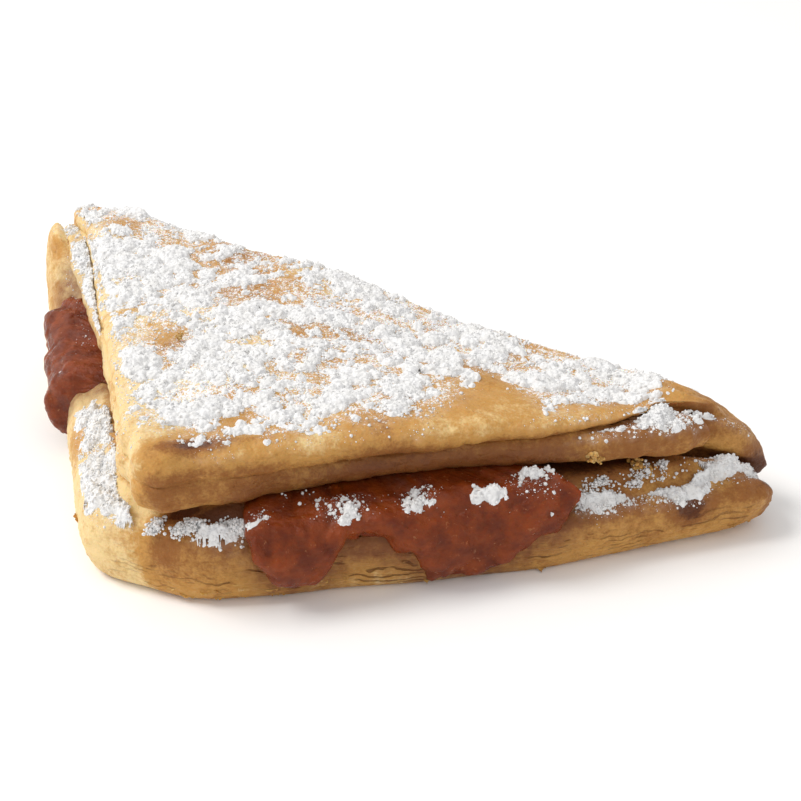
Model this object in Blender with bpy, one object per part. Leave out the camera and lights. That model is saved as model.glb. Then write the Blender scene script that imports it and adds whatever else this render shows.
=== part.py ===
"""A fruit turnover: one sheet of puff pastry folded over a filling that shows at both cut sides.

Lengths are metres. X runs along the front cut side and Y along the left one. The origin is on
the table, under the point that lies equally far from the two cut sides and the fold. Every
surface is a ring of points round that point, repeated from the top down to the table.

The walk is where a column stands on the cut sides: 0 at the square corner between them, counted
up along the front side towards the right tip and down along the left side towards the back tip.
A profile lists pairs of walk and value in millimetres, and is eased from one pair to the next.
"""

import bmesh
import bpy
import numpy as np

MM = 0.001

# Plan of the lower flap: (direction from the origin in degrees, distance of the straight side).
CUT_REACH = 36.9 * MM
SIDES = {
    "front": (-90.0, CUT_REACH),
    "left": (180.0, CUT_REACH),
    "fold": (45.0, 38.0 * MM),
    "right_tip": (-22.5, 84.6 * MM),
    "back_tip": (112.5, 84.2 * MM),
    "square_corner": (-135.0, 42.6 * MM),
}
CORNER_SHARPNESS = 26

# Turn round the origin, in degrees from the middle of the fold by way of the right tip.
RIGHT_TIP_TURN = 67.5
BACK_TIP_TURN = 292.5
FOLD_LEAVES = (62.5, 72.0)
FOLD_JOINS = (289.5, 296.0)

# The lid and the leaf of dough under it: how far each edge stands back, and its heights.
LID_SETBACK = (
    (-16, 9.0), (-7, 7.0), (3, 2.0), (7, 2.2), (15, 5.0), (62, 4.6), (76, 3.8), (90, 4.9), (100, 6.3),
    (110, 8.6),
)
LEAF_SETBACK = (
    (-109, 5.4), (-96, 5.6), (-84, 6.6), (-68, 8.0), (-20, 8.2), (-7, 6.4), (3, 1.8), (7, 2.2), (15, 5.0),
    (20, 5.0), (34, 6.6), (60, 6.4), (78, 3.9), (92, 2.4), (100, 2.4), (107, 3.6), (110.5, 7.0),
)
LID_EDGE_HEIGHT = ((-110, 25.6), (-98, 24.4), (-84, 23.0), (60, 22.8), (95, 22.4), (110, 22.8))
GROOVE_HEIGHT = (
    (-110, 24.8), (-98, 23.4), (-84, 22.0), (-76, 21.3), (20, 21.0), (36, 20.8), (58, 20.8), (76, 21.4),
)
UNDERSIDE_HEIGHT = (
    (-110, 23.4), (-105, 21.0), (-97, 20.2), (-84, 18.4), (-70, 16.6), (-12, 16.2), (10, 15.8), (84, 16.2),
    (110, 15.4),
)
LID_EDGE_ROUND = 3.6 * MM
LID_UNDERCUT = ((-20, 0.9), (-5, 0.3), (28, 0.4), (38, 1.6), (70, 1.6), (90, 1.0))
LEAF_TOP_ROUND = ((-20, 1.3), (-5, 0.4), (28, 0.4), (40, 1.5))
LEAF_TOP_DROP = 0.3 * MM
LEAF_BOTTOM_ROUND = 1.6 * MM

# The lower flap: how far its side stands back, how far it tucks in below, and its heights.
BASE_SETBACK = (
    (-100, 0.3), (-55, 0.9), (-20, 0.9), (8, 3.0), (36, 0.6), (56, -1.4), (72, -2.3), (104, -1.6),
    (110.5, -0.8),
)
BASE_TUCK = ((0, 2.6), (45, 2.4), (70, 2.1), (84, 3.0), (95, 4.0), (108, 4.8))
BULGE_HEIGHT = ((-98, 11.0), (-80, 4.6), (48, 4.6), (85, 6.8))
RIM_HEIGHT = (
    (-106.5, 24.6), (-101, 20.6), (-96, 17.8), (-88, 14.6), (-80, 12.7), (18, 12.7), (42, 10.8), (75, 9.6),
)
SHELF_HEIGHT = ((-110, 22.9), (-105, 20.5), (-96, 18.8), (-84, 15.6), (-76, 14.9), (30, 14.9), (85, 13.2))
BASE_EDGE_ROUND = 3.4 * MM
SHELF_WIDTH = 3.2 * MM
POCKET_DEPTH = 11.0 * MM
POCKET_SLOPE = 0.25 * MM
POCKET_FRONT_LIMIT = 2.0 * MM

# The rolled fold: how far it rounds over and under, with other values at the tips. Its section
# is an ellipse, and goes over to a straight slope at the right tip, which reaches further out.
FOLD_ROUND = 5.0 * MM
RIGHT_TIP_ROUND = 12.4 * MM
BACK_TIP_ROUND = 4.0 * MM
FOLD_UNDER_ROUND = 3.2 * MM
RIGHT_TIP_UNDER_ROUND = 6.2 * MM
FOLD_WIDEST_SHARE = 0.42
RIGHT_TIP_WIDEST_SHARE = 0.25
RIGHT_TIP_REACH = 0.8 * MM
ELLIPSE_POWER = 2.0
RIGHT_TIP_POWER = 1.05
RIGHT_TIP_WIDTH = 6.0
BACK_TIP_WIDTH = 9.0

# The lid's top. Its middle is level, and the right half sags towards the fold.
TOP_HEIGHT = 25.5 * MM
SAG_ALONG_FOLD = ((-20, 0.0), (26, 5.2), (38, 5.2), (50, 6.2), (62, 2.4), (70, 0.6))
SAG_START = -6.0 * MM
SAG_END = 36.0 * MM
RIGHT_END_DROP = 0.8 * MM
RIGHT_END_START = 30.0 * MM
RIGHT_END_FULL = 62.0 * MM
BACK_END_RISE = 2.0 * MM
BACK_END_PLACE = -58.0 * MM
BACK_END_WIDTH = 13.0 * MM
BLISTER_HEIGHT = 0.45 * MM
BLISTER_LENGTHS = (5.1 * MM, 4.3 * MM)
BLISTER_PHASE = 0.8
RIPPLE_HEIGHT = 0.25 * MM
RIPPLE_LENGTHS = (2.7 * MM, 3.3 * MM)
RIPPLE_PHASE = 1.9
TOP_RING_SHARES = (0.93, 0.74, 0.54, 0.36, 0.2, 0.08)

# How many rings round the lid's edge, the leaf's edge and the side of the lower flap.
LID_EDGE_RINGS = 6
LEAF_EDGE_RINGS = 5
BASE_SIDE_RINGS = 8

# The filling: a core inside, tongues that run out at both cut sides, and drips on the side.
# Reach is how far its edge stands back, and low and high are the heights of its underside and top.
FILLING_REACH = (
    (-108, 11.5), (-103, 6.2), (-95, 4.6), (-88, 2.8), (-81, -0.5), (-74, -0.8), (-67, -1.6), (-62, -2.0),
    (-57, -2.0), (-51, 11.5), (20, 11.5), (26, -1.2), (29, -2.0), (36, -2.0), (41, -0.4), (50, -2.8),
    (69, -3.0), (75, -1.4), (79, 11.5),
)
FILLING_LOW = (
    (-109, 15.4), (-103, 17.0), (-92, 14.8), (-84, 11.5), (-72, 6.5), (-63, 2.8), (-57, 2.8), (-52, 12.8),
    (23, 12.6), (29, 3.4), (34.5, 3.4), (40, 12.2), (45, 12.6), (53, 1.4), (61, 1.2), (71, 7.2), (76, 12.8),
)
FILLING_HIGH = ((-109, 17.8), (-103, 19.4), (-97, 19.2), (-84, 17.4), (-70, 15.8), (62, 15.2), (78, 15.8))
FILLING_WIDEST_SHARE = 0.42
FILLING_SHOWS = 4.0 * MM
FILLING_CROWN = (2.0 * MM, 6.0 * MM)
FILLING_LIP = (1.2 * MM, 2.6 * MM)
FILLING_EDGE_RINGS = 8
CORE_SETBACK = 12.5 * MM
CORE_FOLD_SETBACK = 14.0 * MM
CORE_FOLD_HEIGHTS = (12.8 * MM, 15.2 * MM)
CORE_STEPS = (9.0 * MM, 12.0 * MM)
CORE_TOP = 16.4 * MM
CORE_BOTTOM = 10.0 * MM
CORE_BOTTOM_DOME = 0.4 * MM
CORE_SILL_SETBACK = -4.0 * MM
CORE_SILL_HEIGHT = 12.4 * MM
CLEARANCE = 0.42 * MM

PASTRY_COLUMNS = 138
PASTRY_FOLD_DENSITY = 0.6
PASTRY_COLOUR = (0.72, 0.44, 0.18)
PASTRY_ROUGHNESS = 0.6
FILLING_COLUMNS = 132
FILLING_FOLD_DENSITY = 0.25
FILLING_COLOUR = (0.30, 0.09, 0.05)
FILLING_ROUGHNESS = 0.25
SHARP_ANGLE = 50.0
PLAN_SAMPLES = 4001
LEAF_RELIEF = 0.2 * MM
LEAF_WAVES = (13, 25, 39)
SEED = 11


def step(value, start, end):
    """A smooth climb from 0 at start to 1 at end."""
    t = np.clip((value - start) / (end - start), 0.0, 1.0)
    return t * t * (3.0 - 2.0 * t)


def bump(value, centre, width):
    """A smooth hill, 1 at its centre."""
    return np.exp(-(((value - centre) / width) ** 2))


def profile(walk, pairs):
    """The value of a profile at each walk, in metres."""
    value = np.full_like(walk, pairs[0][1] * MM)
    for (start, before), (end, after) in zip(pairs, pairs[1:]):
        value += (after - before) * MM * step(walk, start * MM, end * MM)
    return value


def outline(angle, setback):
    """Distance from the origin to the plan's edge: a soft minimum over its straight sides."""
    total = 0.0
    for direction, reach in SIDES.values():
        facing = np.clip(np.cos(angle - np.radians(direction)), 0.0, None)
        total = total + (facing / (reach - setback)) ** CORNER_SHARPNESS
    return total ** (-1.0 / CORNER_SHARPNESS)


def turn_of(angle):
    """The turn of a direction, in degrees."""
    return np.degrees(np.radians(45.0) - angle) % 360.0


def fold_share(turn):
    """1 on the fold, 0 on the cut sides, with a short blend round each tip."""
    return 1.0 - step(turn, *FOLD_LEAVES) + step(turn, *FOLD_JOINS)


def spread_angles(count, fold_density):
    """Directions evenly spaced along the plan's edge, with fewer of them along the fold."""
    fine = np.radians(45.0) - np.linspace(0.0, 2.0 * np.pi, PLAN_SAMPLES)
    reach = outline(fine, 0.0)
    gaps = np.hypot(np.diff(reach * np.cos(fine)), np.diff(reach * np.sin(fine)))
    gaps = gaps * (1.0 - (1.0 - fold_density) * fold_share(turn_of(fine[1:])))
    walked = np.concatenate([[0.0], np.cumsum(gaps)])
    return np.interp(np.arange(count) / count * walked[-1], walked, fine)


class Columns:
    """Where each column of points stands: its direction, its share of fold and its walk."""

    def __init__(self, count, fold_density):
        self.angle = spread_angles(count, fold_density)
        self.turn = turn_of(self.angle)
        self.fold = fold_share(self.turn)
        x, y = self.plan(0.0)
        self.walk = x - y

    def plan(self, setback):
        """The plan's points at a setback from its edge."""
        reach = outline(self.angle, setback)
        return reach * np.cos(self.angle), reach * np.sin(self.angle)

    def points(self, rows):
        """Rows of (setback, height) become an array of points, shaped rows x columns x 3."""
        rings = []
        for setback, height in rows:
            x, y = self.plan(setback)
            rings.append(np.stack([x, y, np.broadcast_to(height, x.shape)], axis=-1))
        return np.array(rings)


def top_height(x, y):
    """Height of the lid over a point of the plan: level, with a sag behind its right half."""
    to_fold = (x + y) / np.sqrt(2.0)
    along_fold = (x - y) / np.sqrt(2.0)
    sag = profile(along_fold, SAG_ALONG_FOLD) * step(to_fold, SAG_START, SAG_END)
    right_end = RIGHT_END_DROP * step(along_fold, RIGHT_END_START, RIGHT_END_FULL)
    right_end = right_end * (1.0 - step(to_fold, 0.0, SAG_END))
    back_end = BACK_END_RISE * bump(along_fold, BACK_END_PLACE, BACK_END_WIDTH)
    blister_x, blister_y = BLISTER_LENGTHS
    blisters = BLISTER_HEIGHT * np.sin(x / blister_x) * np.sin(y / blister_y + BLISTER_PHASE)
    across, along = RIPPLE_LENGTHS
    ripples = RIPPLE_HEIGHT * np.sin((x + y) / across + RIPPLE_PHASE) * np.sin((x - y) / along)
    return TOP_HEIGHT - sag - right_end + back_end + blisters + ripples


def edge_rows(setback, round_top, round_bottom, top, widest, bottom, count, power=ELLIPSE_POWER):
    """Rows down a rounded edge: a quarter ellipse to its widest height, then one under it.

    A power below 2 flattens both quarters towards a straight slope.
    """
    rows = []
    for turn in np.linspace(0.5 * np.pi, -0.5 * np.pi, count):
        upper = turn >= 0.0
        out = np.cos(turn)
        up = abs(np.sin(turn))
        length = (out**power + up**power) ** (1.0 / power)
        inward = (1.0 - out / length) * (round_top if upper else round_bottom)
        rise = (top - widest if upper else bottom - widest) * up / length
        rows.append((setback + inward, widest + rise))
    return rows


def cut_rows(where):
    """The rings of a cut side: lid, groove, leaf, pocket, and the side of the lower flap."""
    lid = profile(where.walk, LID_SETBACK)
    leaf = profile(where.walk, LEAF_SETBACK)
    base = profile(where.walk, BASE_SETBACK)
    groove = profile(where.walk, GROOVE_HEIGHT)
    underside = profile(where.walk, UNDERSIDE_HEIGHT)
    shelf = profile(where.walk, SHELF_HEIGHT)
    shoulder = lid + LID_EDGE_ROUND
    rows = []
    for share in TOP_RING_SHARES:
        setback = shoulder + share * (CUT_REACH - shoulder)
        rows.append((setback, top_height(*where.plan(setback))))
    top = top_height(*where.plan(shoulder))
    widest = profile(where.walk, LID_EDGE_HEIGHT)
    undercut = profile(where.walk, LID_UNDERCUT)
    rows += edge_rows(lid, LID_EDGE_ROUND, undercut, top, widest, groove, LID_EDGE_RINGS)
    leaf_top = groove - LEAF_TOP_DROP
    middle = 0.5 * (leaf_top + underside)
    leaf_round = profile(where.walk, LEAF_TOP_ROUND)
    rows += edge_rows(leaf, leaf_round, LEAF_BOTTOM_ROUND, leaf_top, middle, underside, LEAF_EDGE_RINGS)
    inside = np.maximum(leaf, POCKET_FRONT_LIMIT) + POCKET_DEPTH * (1.0 - where.fold)
    rows.append((inside, underside + POCKET_SLOPE))
    rows.append((inside, shelf - POCKET_SLOPE))
    rows.append((np.minimum(base + BASE_EDGE_ROUND + SHELF_WIDTH, inside), shelf))
    rim = profile(where.walk, RIM_HEIGHT)
    bulge = profile(where.walk, BULGE_HEIGHT)
    tuck = profile(where.walk, BASE_TUCK)
    rows += edge_rows(base, BASE_EDGE_ROUND, tuck, rim, bulge, 0.0, BASE_SIDE_RINGS)
    return rows


def fold_rows(where, count):
    """The rings of the rolled fold, from its top down to the table."""
    right = bump(where.turn, RIGHT_TIP_TURN, RIGHT_TIP_WIDTH)
    back = bump(where.turn, BACK_TIP_TURN, BACK_TIP_WIDTH)
    round_top = FOLD_ROUND + (RIGHT_TIP_ROUND - FOLD_ROUND) * right + (BACK_TIP_ROUND - FOLD_ROUND) * back
    round_bottom = FOLD_UNDER_ROUND + (RIGHT_TIP_UNDER_ROUND - FOLD_UNDER_ROUND) * right
    power = ELLIPSE_POWER + (RIGHT_TIP_POWER - ELLIPSE_POWER) * right
    setback = -RIGHT_TIP_REACH * right
    top = top_height(*where.plan(setback + round_top))
    widest = (FOLD_WIDEST_SHARE + (RIGHT_TIP_WIDEST_SHARE - FOLD_WIDEST_SHARE) * right) * top
    return edge_rows(setback, round_top, round_bottom, top, widest, np.zeros_like(top), count, power)


def pastry_rows(where):
    """The pastry's rings: those of the cut sides and those of the fold, blended at the tips."""
    rows = cut_rows(where)
    first = len(TOP_RING_SHARES)
    rolled = fold_rows(where, len(rows) - first)
    for number, (setback, height) in enumerate(rolled, start=first):
        cut_setback, cut_height = rows[number]
        rows[number] = (
            (1.0 - where.fold) * cut_setback + where.fold * setback,
            (1.0 - where.fold) * cut_height + where.fold * height,
        )
    return rows


def leaf_relief(where, rows):
    """Roughens the sides as stacked leaves of dough do, each ring with its own slow waves."""
    chance = np.random.default_rng(SEED)
    around = np.linspace(0.0, 2.0 * np.pi, len(where.angle), endpoint=False)
    rough = rows[: len(TOP_RING_SHARES)]
    for setback, height in rows[len(TOP_RING_SHARES) : -1]:
        for waves in LEAF_WAVES:
            phase = chance.uniform(0.0, 2.0 * np.pi)
            setback = setback + LEAF_RELIEF * np.sin(waves * around + phase)
        rough.append((setback, height))
    return rough + rows[-1:]


def filling_rows(where):
    """The filling's rings: a core in the pocket, with tongues that run out over the lower flap."""
    cut = 1.0 - where.fold
    fold_low, fold_high = CORE_FOLD_HEIGHTS
    outer = profile(where.walk, FILLING_REACH) * cut + CORE_FOLD_SETBACK * where.fold
    low = profile(where.walk, FILLING_LOW) * cut + fold_low * where.fold
    high = profile(where.walk, FILLING_HIGH) * cut + fold_high * where.fold
    shows = 1.0 - step(outer, FILLING_SHOWS, CORE_SETBACK)
    widest = low + FILLING_WIDEST_SHARE * (high - low)
    crown = FILLING_CROWN[0] + (FILLING_CROWN[1] - FILLING_CROWN[0]) * shows
    lip = FILLING_LIP[0] + (FILLING_LIP[1] - FILLING_LIP[0]) * shows
    near, far = CORE_STEPS
    inner = np.maximum(outer + near, CORE_SETBACK)
    rows = [(inner + far, CORE_TOP), (inner + near, CORE_TOP)]
    rows += edge_rows(outer, crown, lip, high, widest, low, FILLING_EDGE_RINGS)
    rows.append((inner + CORE_SILL_SETBACK, np.maximum(low, CORE_SILL_HEIGHT)))
    rows.append((inner + near, CORE_BOTTOM + CORE_BOTTOM_DOME))
    rows.append((inner + far, CORE_BOTTOM))
    return rows


def skin(name, points, colour, roughness):
    """One closed object from rings of points, with a face across the first and last ring."""
    shape = bmesh.new()
    rings = [[shape.verts.new(point) for point in ring] for ring in points]
    for upper, lower in zip(rings, rings[1:]):
        for number, corner in enumerate(upper):
            following = (number + 1) % len(upper)
            shape.faces.new((corner, upper[following], lower[following], lower[number]))
    shape.faces.new(rings[0][::-1])
    shape.faces.new(rings[-1])
    bmesh.ops.recalc_face_normals(shape, faces=shape.faces)
    bmesh.ops.triangulate(shape, faces=shape.faces)
    mesh = bpy.data.meshes.new(name)
    shape.to_mesh(mesh)
    shape.free()
    material = bpy.data.materials.new(name)
    material.use_nodes = True
    finish = material.node_tree.nodes["Principled BSDF"]
    finish.inputs["Base Color"].default_value = (*colour, 1.0)
    finish.inputs["Roughness"].default_value = roughness
    mesh.materials.append(material)
    piece = bpy.data.objects.new(name, mesh)
    bpy.context.scene.collection.objects.link(piece)
    mesh.shade_smooth()
    mesh.set_sharp_from_angle(angle=np.radians(SHARP_ANGLE))
    return piece


def make_filling(name):
    """The jam, as a closed solid that fills the pocket and runs out at both cut sides."""
    where = Columns(FILLING_COLUMNS, FILLING_FOLD_DENSITY)
    return skin(name, where.points(filling_rows(where)), FILLING_COLOUR, FILLING_ROUGHNESS)


def make_pastry():
    """The folded sheet, with its pocket cut a little larger than the filling all round."""
    where = Columns(PASTRY_COLUMNS, PASTRY_FOLD_DENSITY)
    rows = leaf_relief(where, pastry_rows(where))
    pastry = skin("pastry", where.points(rows), PASTRY_COLOUR, PASTRY_ROUGHNESS)
    cutter = make_filling("pocket_cutter")
    cutter.hide_render = True
    cutter.display_type = "WIRE"
    swell = cutter.modifiers.new("clearance", "DISPLACE")
    swell.mid_level = 0.0
    swell.strength = CLEARANCE
    pocket = pastry.modifiers.new("pocket", "BOOLEAN")
    pocket.operation = "DIFFERENCE"
    pocket.object = cutter
    return pastry


def main():
    """Clears the scene and builds both solids."""
    for thing in list(bpy.data.objects):
        bpy.data.objects.remove(thing, do_unlink=True)
    make_pastry()
    make_filling("filling")


main()
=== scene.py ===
"""A fruit turnover dusted with icing sugar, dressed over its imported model.

Lengths are metres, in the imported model's own frame: X runs along the front cut side, Y along the
left one, and the origin is on the table under the point that lies equally far from the two cut
sides and the fold.

The walk is where a column of points stands on the cut sides: 0 at the square corner between them,
counted up along the front side and down along the left side. A profile lists pairs of walk and
value in millimetres, and is eased from one pair to the next.
"""

import logging
import math
from dataclasses import dataclass
from enum import Enum
from functools import cached_property

import bpy
import numpy as np
from mathutils import Matrix, Vector


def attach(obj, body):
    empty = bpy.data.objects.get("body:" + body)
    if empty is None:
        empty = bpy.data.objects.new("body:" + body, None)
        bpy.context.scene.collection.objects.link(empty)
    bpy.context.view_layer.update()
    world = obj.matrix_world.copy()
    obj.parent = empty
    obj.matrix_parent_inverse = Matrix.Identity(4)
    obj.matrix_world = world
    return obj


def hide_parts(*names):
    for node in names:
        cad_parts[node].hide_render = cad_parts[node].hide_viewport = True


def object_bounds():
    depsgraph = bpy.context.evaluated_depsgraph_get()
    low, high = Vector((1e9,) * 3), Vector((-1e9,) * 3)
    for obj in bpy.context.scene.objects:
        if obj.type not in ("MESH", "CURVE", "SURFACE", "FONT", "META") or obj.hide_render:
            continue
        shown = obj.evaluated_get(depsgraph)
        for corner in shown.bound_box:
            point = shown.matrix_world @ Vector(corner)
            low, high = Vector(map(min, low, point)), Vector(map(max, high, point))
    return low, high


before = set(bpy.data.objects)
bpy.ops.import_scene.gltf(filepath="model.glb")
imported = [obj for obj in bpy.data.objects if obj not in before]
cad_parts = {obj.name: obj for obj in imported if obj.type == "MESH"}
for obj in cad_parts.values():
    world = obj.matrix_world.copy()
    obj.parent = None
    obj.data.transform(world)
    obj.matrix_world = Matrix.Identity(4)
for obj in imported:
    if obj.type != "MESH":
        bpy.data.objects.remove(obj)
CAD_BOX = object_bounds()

MM = 0.001
ROOT = "root"
TINY = 1e-12
Array = np.ndarray
Pair = tuple[float, float]
Pairs = tuple[Pair, ...]
Triple = tuple[float, float, float]
Colour = tuple[float, float, float, float]
Crumb = tuple[float, float, float, float]
TwoArrays = tuple[Array, Array]
Piece = bpy.types.Object
Node = bpy.types.Node
Socket = bpy.types.NodeSocket
Tree = bpy.types.NodeTree
log = logging.getLogger("turnover")


# Smooth curves and noise

# The mixing of bits that gives each cell its chance
AXIS_PRIMES = (73856093, 19349663, 83492791)
SEED_STEP = 374761393
SEED_START = 1013904223
FIRST_MIX = np.uint64(2654435761)
LAST_MIX = np.uint64(2246822519)
LOW_WORD = np.uint64(0xFFFFFFFF)
MOST_CHANCE = np.uint64(0xFFFFFF)

# How far each finer layer of noise is shifted, in cells, and how a lump reaches
OCTAVE_SHIFT = 17.3
SMALLEST_LUMP = 0.45
LUMP_RANGE = 0.55


def step(value: Array, start: float, end: float) -> Array:
    """Climb smoothly from 0 at start to 1 at end: t squared times (3 - 2t).

    Args:
        value: where to read the climb.
        start: the last value that gives 0.
        end: the first value that gives 1.

    Returns:
        The climb at each value.
    """
    t = np.clip((value - start) / (end - start), 0.0, 1.0)
    return t * t * (3.0 - 2.0 * t)


def climb(value: Array, span: Pair) -> Array:
    """Climb smoothly from 0 to 1 over a span in millimetres."""
    return step(value, span[0] * MM, span[1] * MM)


def bump(value: Array, centre: float, width: float) -> Array:
    """Give a bell curve: e to the power of minus ((value - centre) / width) squared.

    Args:
        value: where to read the bell.
        centre: where it is 1.
        width: how far from the centre it has fallen to 0.37.

    Returns:
        The bell at each value.
    """
    return np.exp(-(((value - centre) / width) ** 2))


def profile(walk: Array, pairs: Pairs) -> Array:
    """Read a profile, as the sum of one smooth climb for each pair of neighbours.

    Args:
        walk: walk of each column, in metres.
        pairs: walk and value, in millimetres.

    Returns:
        The value at each walk, in metres.
    """
    value = np.full_like(walk, pairs[0][1] * MM)
    for (start, before), (end, after) in zip(pairs, pairs[1:]):
        value += (after - before) * MM * step(walk, start * MM, end * MM)
    return value


def cell_chance(cells: Array, seed: int) -> Array:
    """Give every whole-number cell its own even chance, by mixing the bits of its place.

    Args:
        cells: whole numbers, with the axes of the cell last.
        seed: picks another set of chances.

    Returns:
        Values from 0 to 1, without the last axis.
    """
    mixed = np.full(cells.shape[:-1], seed * SEED_STEP + SEED_START, dtype=np.uint64)
    for axis, prime in zip(range(cells.shape[-1]), AXIS_PRIMES):
        whole = cells[..., axis].astype(np.int64).astype(np.uint64)
        mixed = (mixed ^ (whole * np.uint64(prime))) & LOW_WORD
        mixed = (mixed * FIRST_MIX) & LOW_WORD
        mixed = mixed ^ (mixed >> np.uint64(15))
    mixed = (mixed * LAST_MIX) & LOW_WORD
    mixed = mixed ^ (mixed >> np.uint64(13))
    return (mixed & MOST_CHANCE).astype(np.float64) / float(MOST_CHANCE)


def waves(points: Array, size: float, seed: int, octaves: int = 1) -> Array:
    """Read value noise: cell chances blended smoothly between the corners of each cell.

    Args:
        points: places, with the axes last.
        size: width of the largest waves, in metres.
        seed: picks another pattern.
        octaves: how many layers, each half as wide and half as high as the one before.

    Returns:
        Noise from about -1 to 1.
    """
    total = np.zeros(points.shape[:-1])
    axes = points.shape[-1]
    for octave in range(octaves):
        scaled = points / size * 2.0**octave + OCTAVE_SHIFT * octave
        low = np.floor(scaled)
        part = scaled - low
        part = part * part * part * (part * (part * 6.0 - 15.0) + 10.0)
        blended = np.zeros(points.shape[:-1])
        for corner in range(2**axes):
            offset = np.array([(corner >> axis) & 1 for axis in range(axes)])
            weight = np.prod(np.where(offset == 1, part, 1.0 - part), axis=-1)
            blended += weight * cell_chance(low.astype(np.int64) + offset, seed + octave)
        total += (2.0 * blended - 1.0) * 0.5**octave
    return total


def heaps(points: Array, size: float, seed: int, fill: float = 1.0) -> Array:
    """Heap round lumps: each cell holds one dome at a random place, and the highest dome wins.

    Args:
        points: places, with the axes last.
        size: width of a cell, in metres.
        seed: picks another set of lumps.
        fill: share of the cells that hold a lump.

    Returns:
        Height from 0 between the lumps to 1 on top of the largest.
    """
    scaled = points / size
    low = np.floor(scaled).astype(np.int64)
    axes = points.shape[-1]
    highest = np.zeros(points.shape[:-1])
    for near in range(3**axes):
        cell = low + np.array([(near // 3**axis) % 3 - 1 for axis in range(axes)])
        centre = np.stack([cell_chance(cell, seed + 11 * axis) for axis in range(axes)], axis=-1)
        apart = np.sum((scaled - cell - centre) ** 2, axis=-1)
        reach = SMALLEST_LUMP + LUMP_RANGE * cell_chance(cell, seed + 71)
        held = cell_chance(cell, seed + 97) < fill
        dome = np.sqrt(np.clip(1.0 - apart / reach**2, 0.0, None)) * reach * held
        highest = np.maximum(highest, dome)
    return highest


def plan_of(points: Array) -> Array:
    """Keep only X and Y of each point."""
    return points[..., :2]


# Meshes from arrays


def mesh_object(name: str, points: Array, *faces: Array) -> Piece:
    """Put points and faces into a new object at the origin.

    Args:
        name: the piece's name.
        points: places of the vertices, count x 3.
        *faces: vertex numbers of the faces, as one array for each number of corners.

    Returns:
        The object, linked to the scene and shaded smooth.
    """
    corners = np.concatenate([some.ravel() for some in faces])
    sizes = np.concatenate([np.full(len(some), some.shape[1]) for some in faces])
    mesh = bpy.data.meshes.new(name)
    mesh.vertices.add(len(points))
    mesh.vertices.foreach_set("co", points.astype(np.float32).ravel())
    mesh.loops.add(len(corners))
    mesh.loops.foreach_set("vertex_index", corners.astype(np.int32))
    mesh.polygons.add(len(sizes))
    starts = np.concatenate([[0], np.cumsum(sizes)[:-1]])
    mesh.polygons.foreach_set("loop_start", starts.astype(np.int32))
    mesh.polygons.foreach_set("use_smooth", np.ones(len(sizes), dtype=bool))
    mesh.update(calc_edges=True)
    piece = bpy.data.objects.new(name, mesh)
    bpy.context.scene.collection.objects.link(piece)
    return piece


def grid_quads(rows: int, columns: int) -> Array:
    """Number the quads of a grid of points that is stored row by row."""
    corner = (np.arange(rows - 1)[:, None] * columns + np.arange(columns - 1)[None]).ravel()
    return np.stack([corner, corner + columns, corner + columns + 1, corner + 1], axis=-1)


def set_mask(piece: Piece, name: str, values: Array) -> None:
    """Store one number at each vertex, for the materials to read.

    Args:
        piece: the mesh object.
        name: the attribute's name.
        values: one number for each vertex.
    """
    layer = piece.data.attributes.new(name, "FLOAT", "POINT")
    layer.data.foreach_set("value", values.astype(np.float32).ravel())


def vertex_values(piece: Piece, name: str) -> Array:
    """Read a vector of each vertex, such as its place ("co") or its normal, as count x 3."""
    values = np.empty(len(piece.data.vertices) * 3)
    piece.data.vertices.foreach_get(name, values)
    return values.reshape(-1, 3)


def closed_rings(name: str, rings: Array) -> Piece:
    """Skin rings of points that run round the object, with a pole at each end.

    A face joins ring r and r + 1 between column c and c + 1, and a fan closes each end.

    Args:
        name: the piece's name.
        rings: points, rings x columns x 3, from the top down and clockwise seen from above.

    Returns:
        The closed object.
    """
    count, columns = rings.shape[:2]
    points = np.concatenate([rings.reshape(-1, 3), [rings[0].mean(axis=0)], [rings[-1].mean(axis=0)]])
    start = (np.arange(count - 1) * columns)[:, None]
    here = np.arange(columns)
    after = (here + 1) % columns
    quads = [start + here, start + after, start + columns + after, start + columns + here]
    quads = np.stack(quads, axis=-1).reshape(-1, 4)
    last = (count - 1) * columns
    top_pole = np.full(columns, count * columns)
    upper = np.stack([top_pole, after, here], axis=-1)
    lower = np.stack([top_pole + 1, last + here, last + after], axis=-1)
    return mesh_object(name, points, quads, upper, lower)


def ring_normals(rings: Array) -> Array:
    """Work out the outward direction at each point, across its neighbours along and down.

    Args:
        rings: points, rings x columns x 3.

    Returns:
        Unit vectors, shaped as the points.
    """
    along = np.roll(rings, -1, axis=1) - np.roll(rings, 1, axis=1)
    down = np.gradient(rings, axis=0)
    across = np.cross(along, down)
    return across / np.maximum(np.linalg.norm(across, axis=-1, keepdims=True), TINY)


# The turnover's form, with the same sizes as its solids


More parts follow.
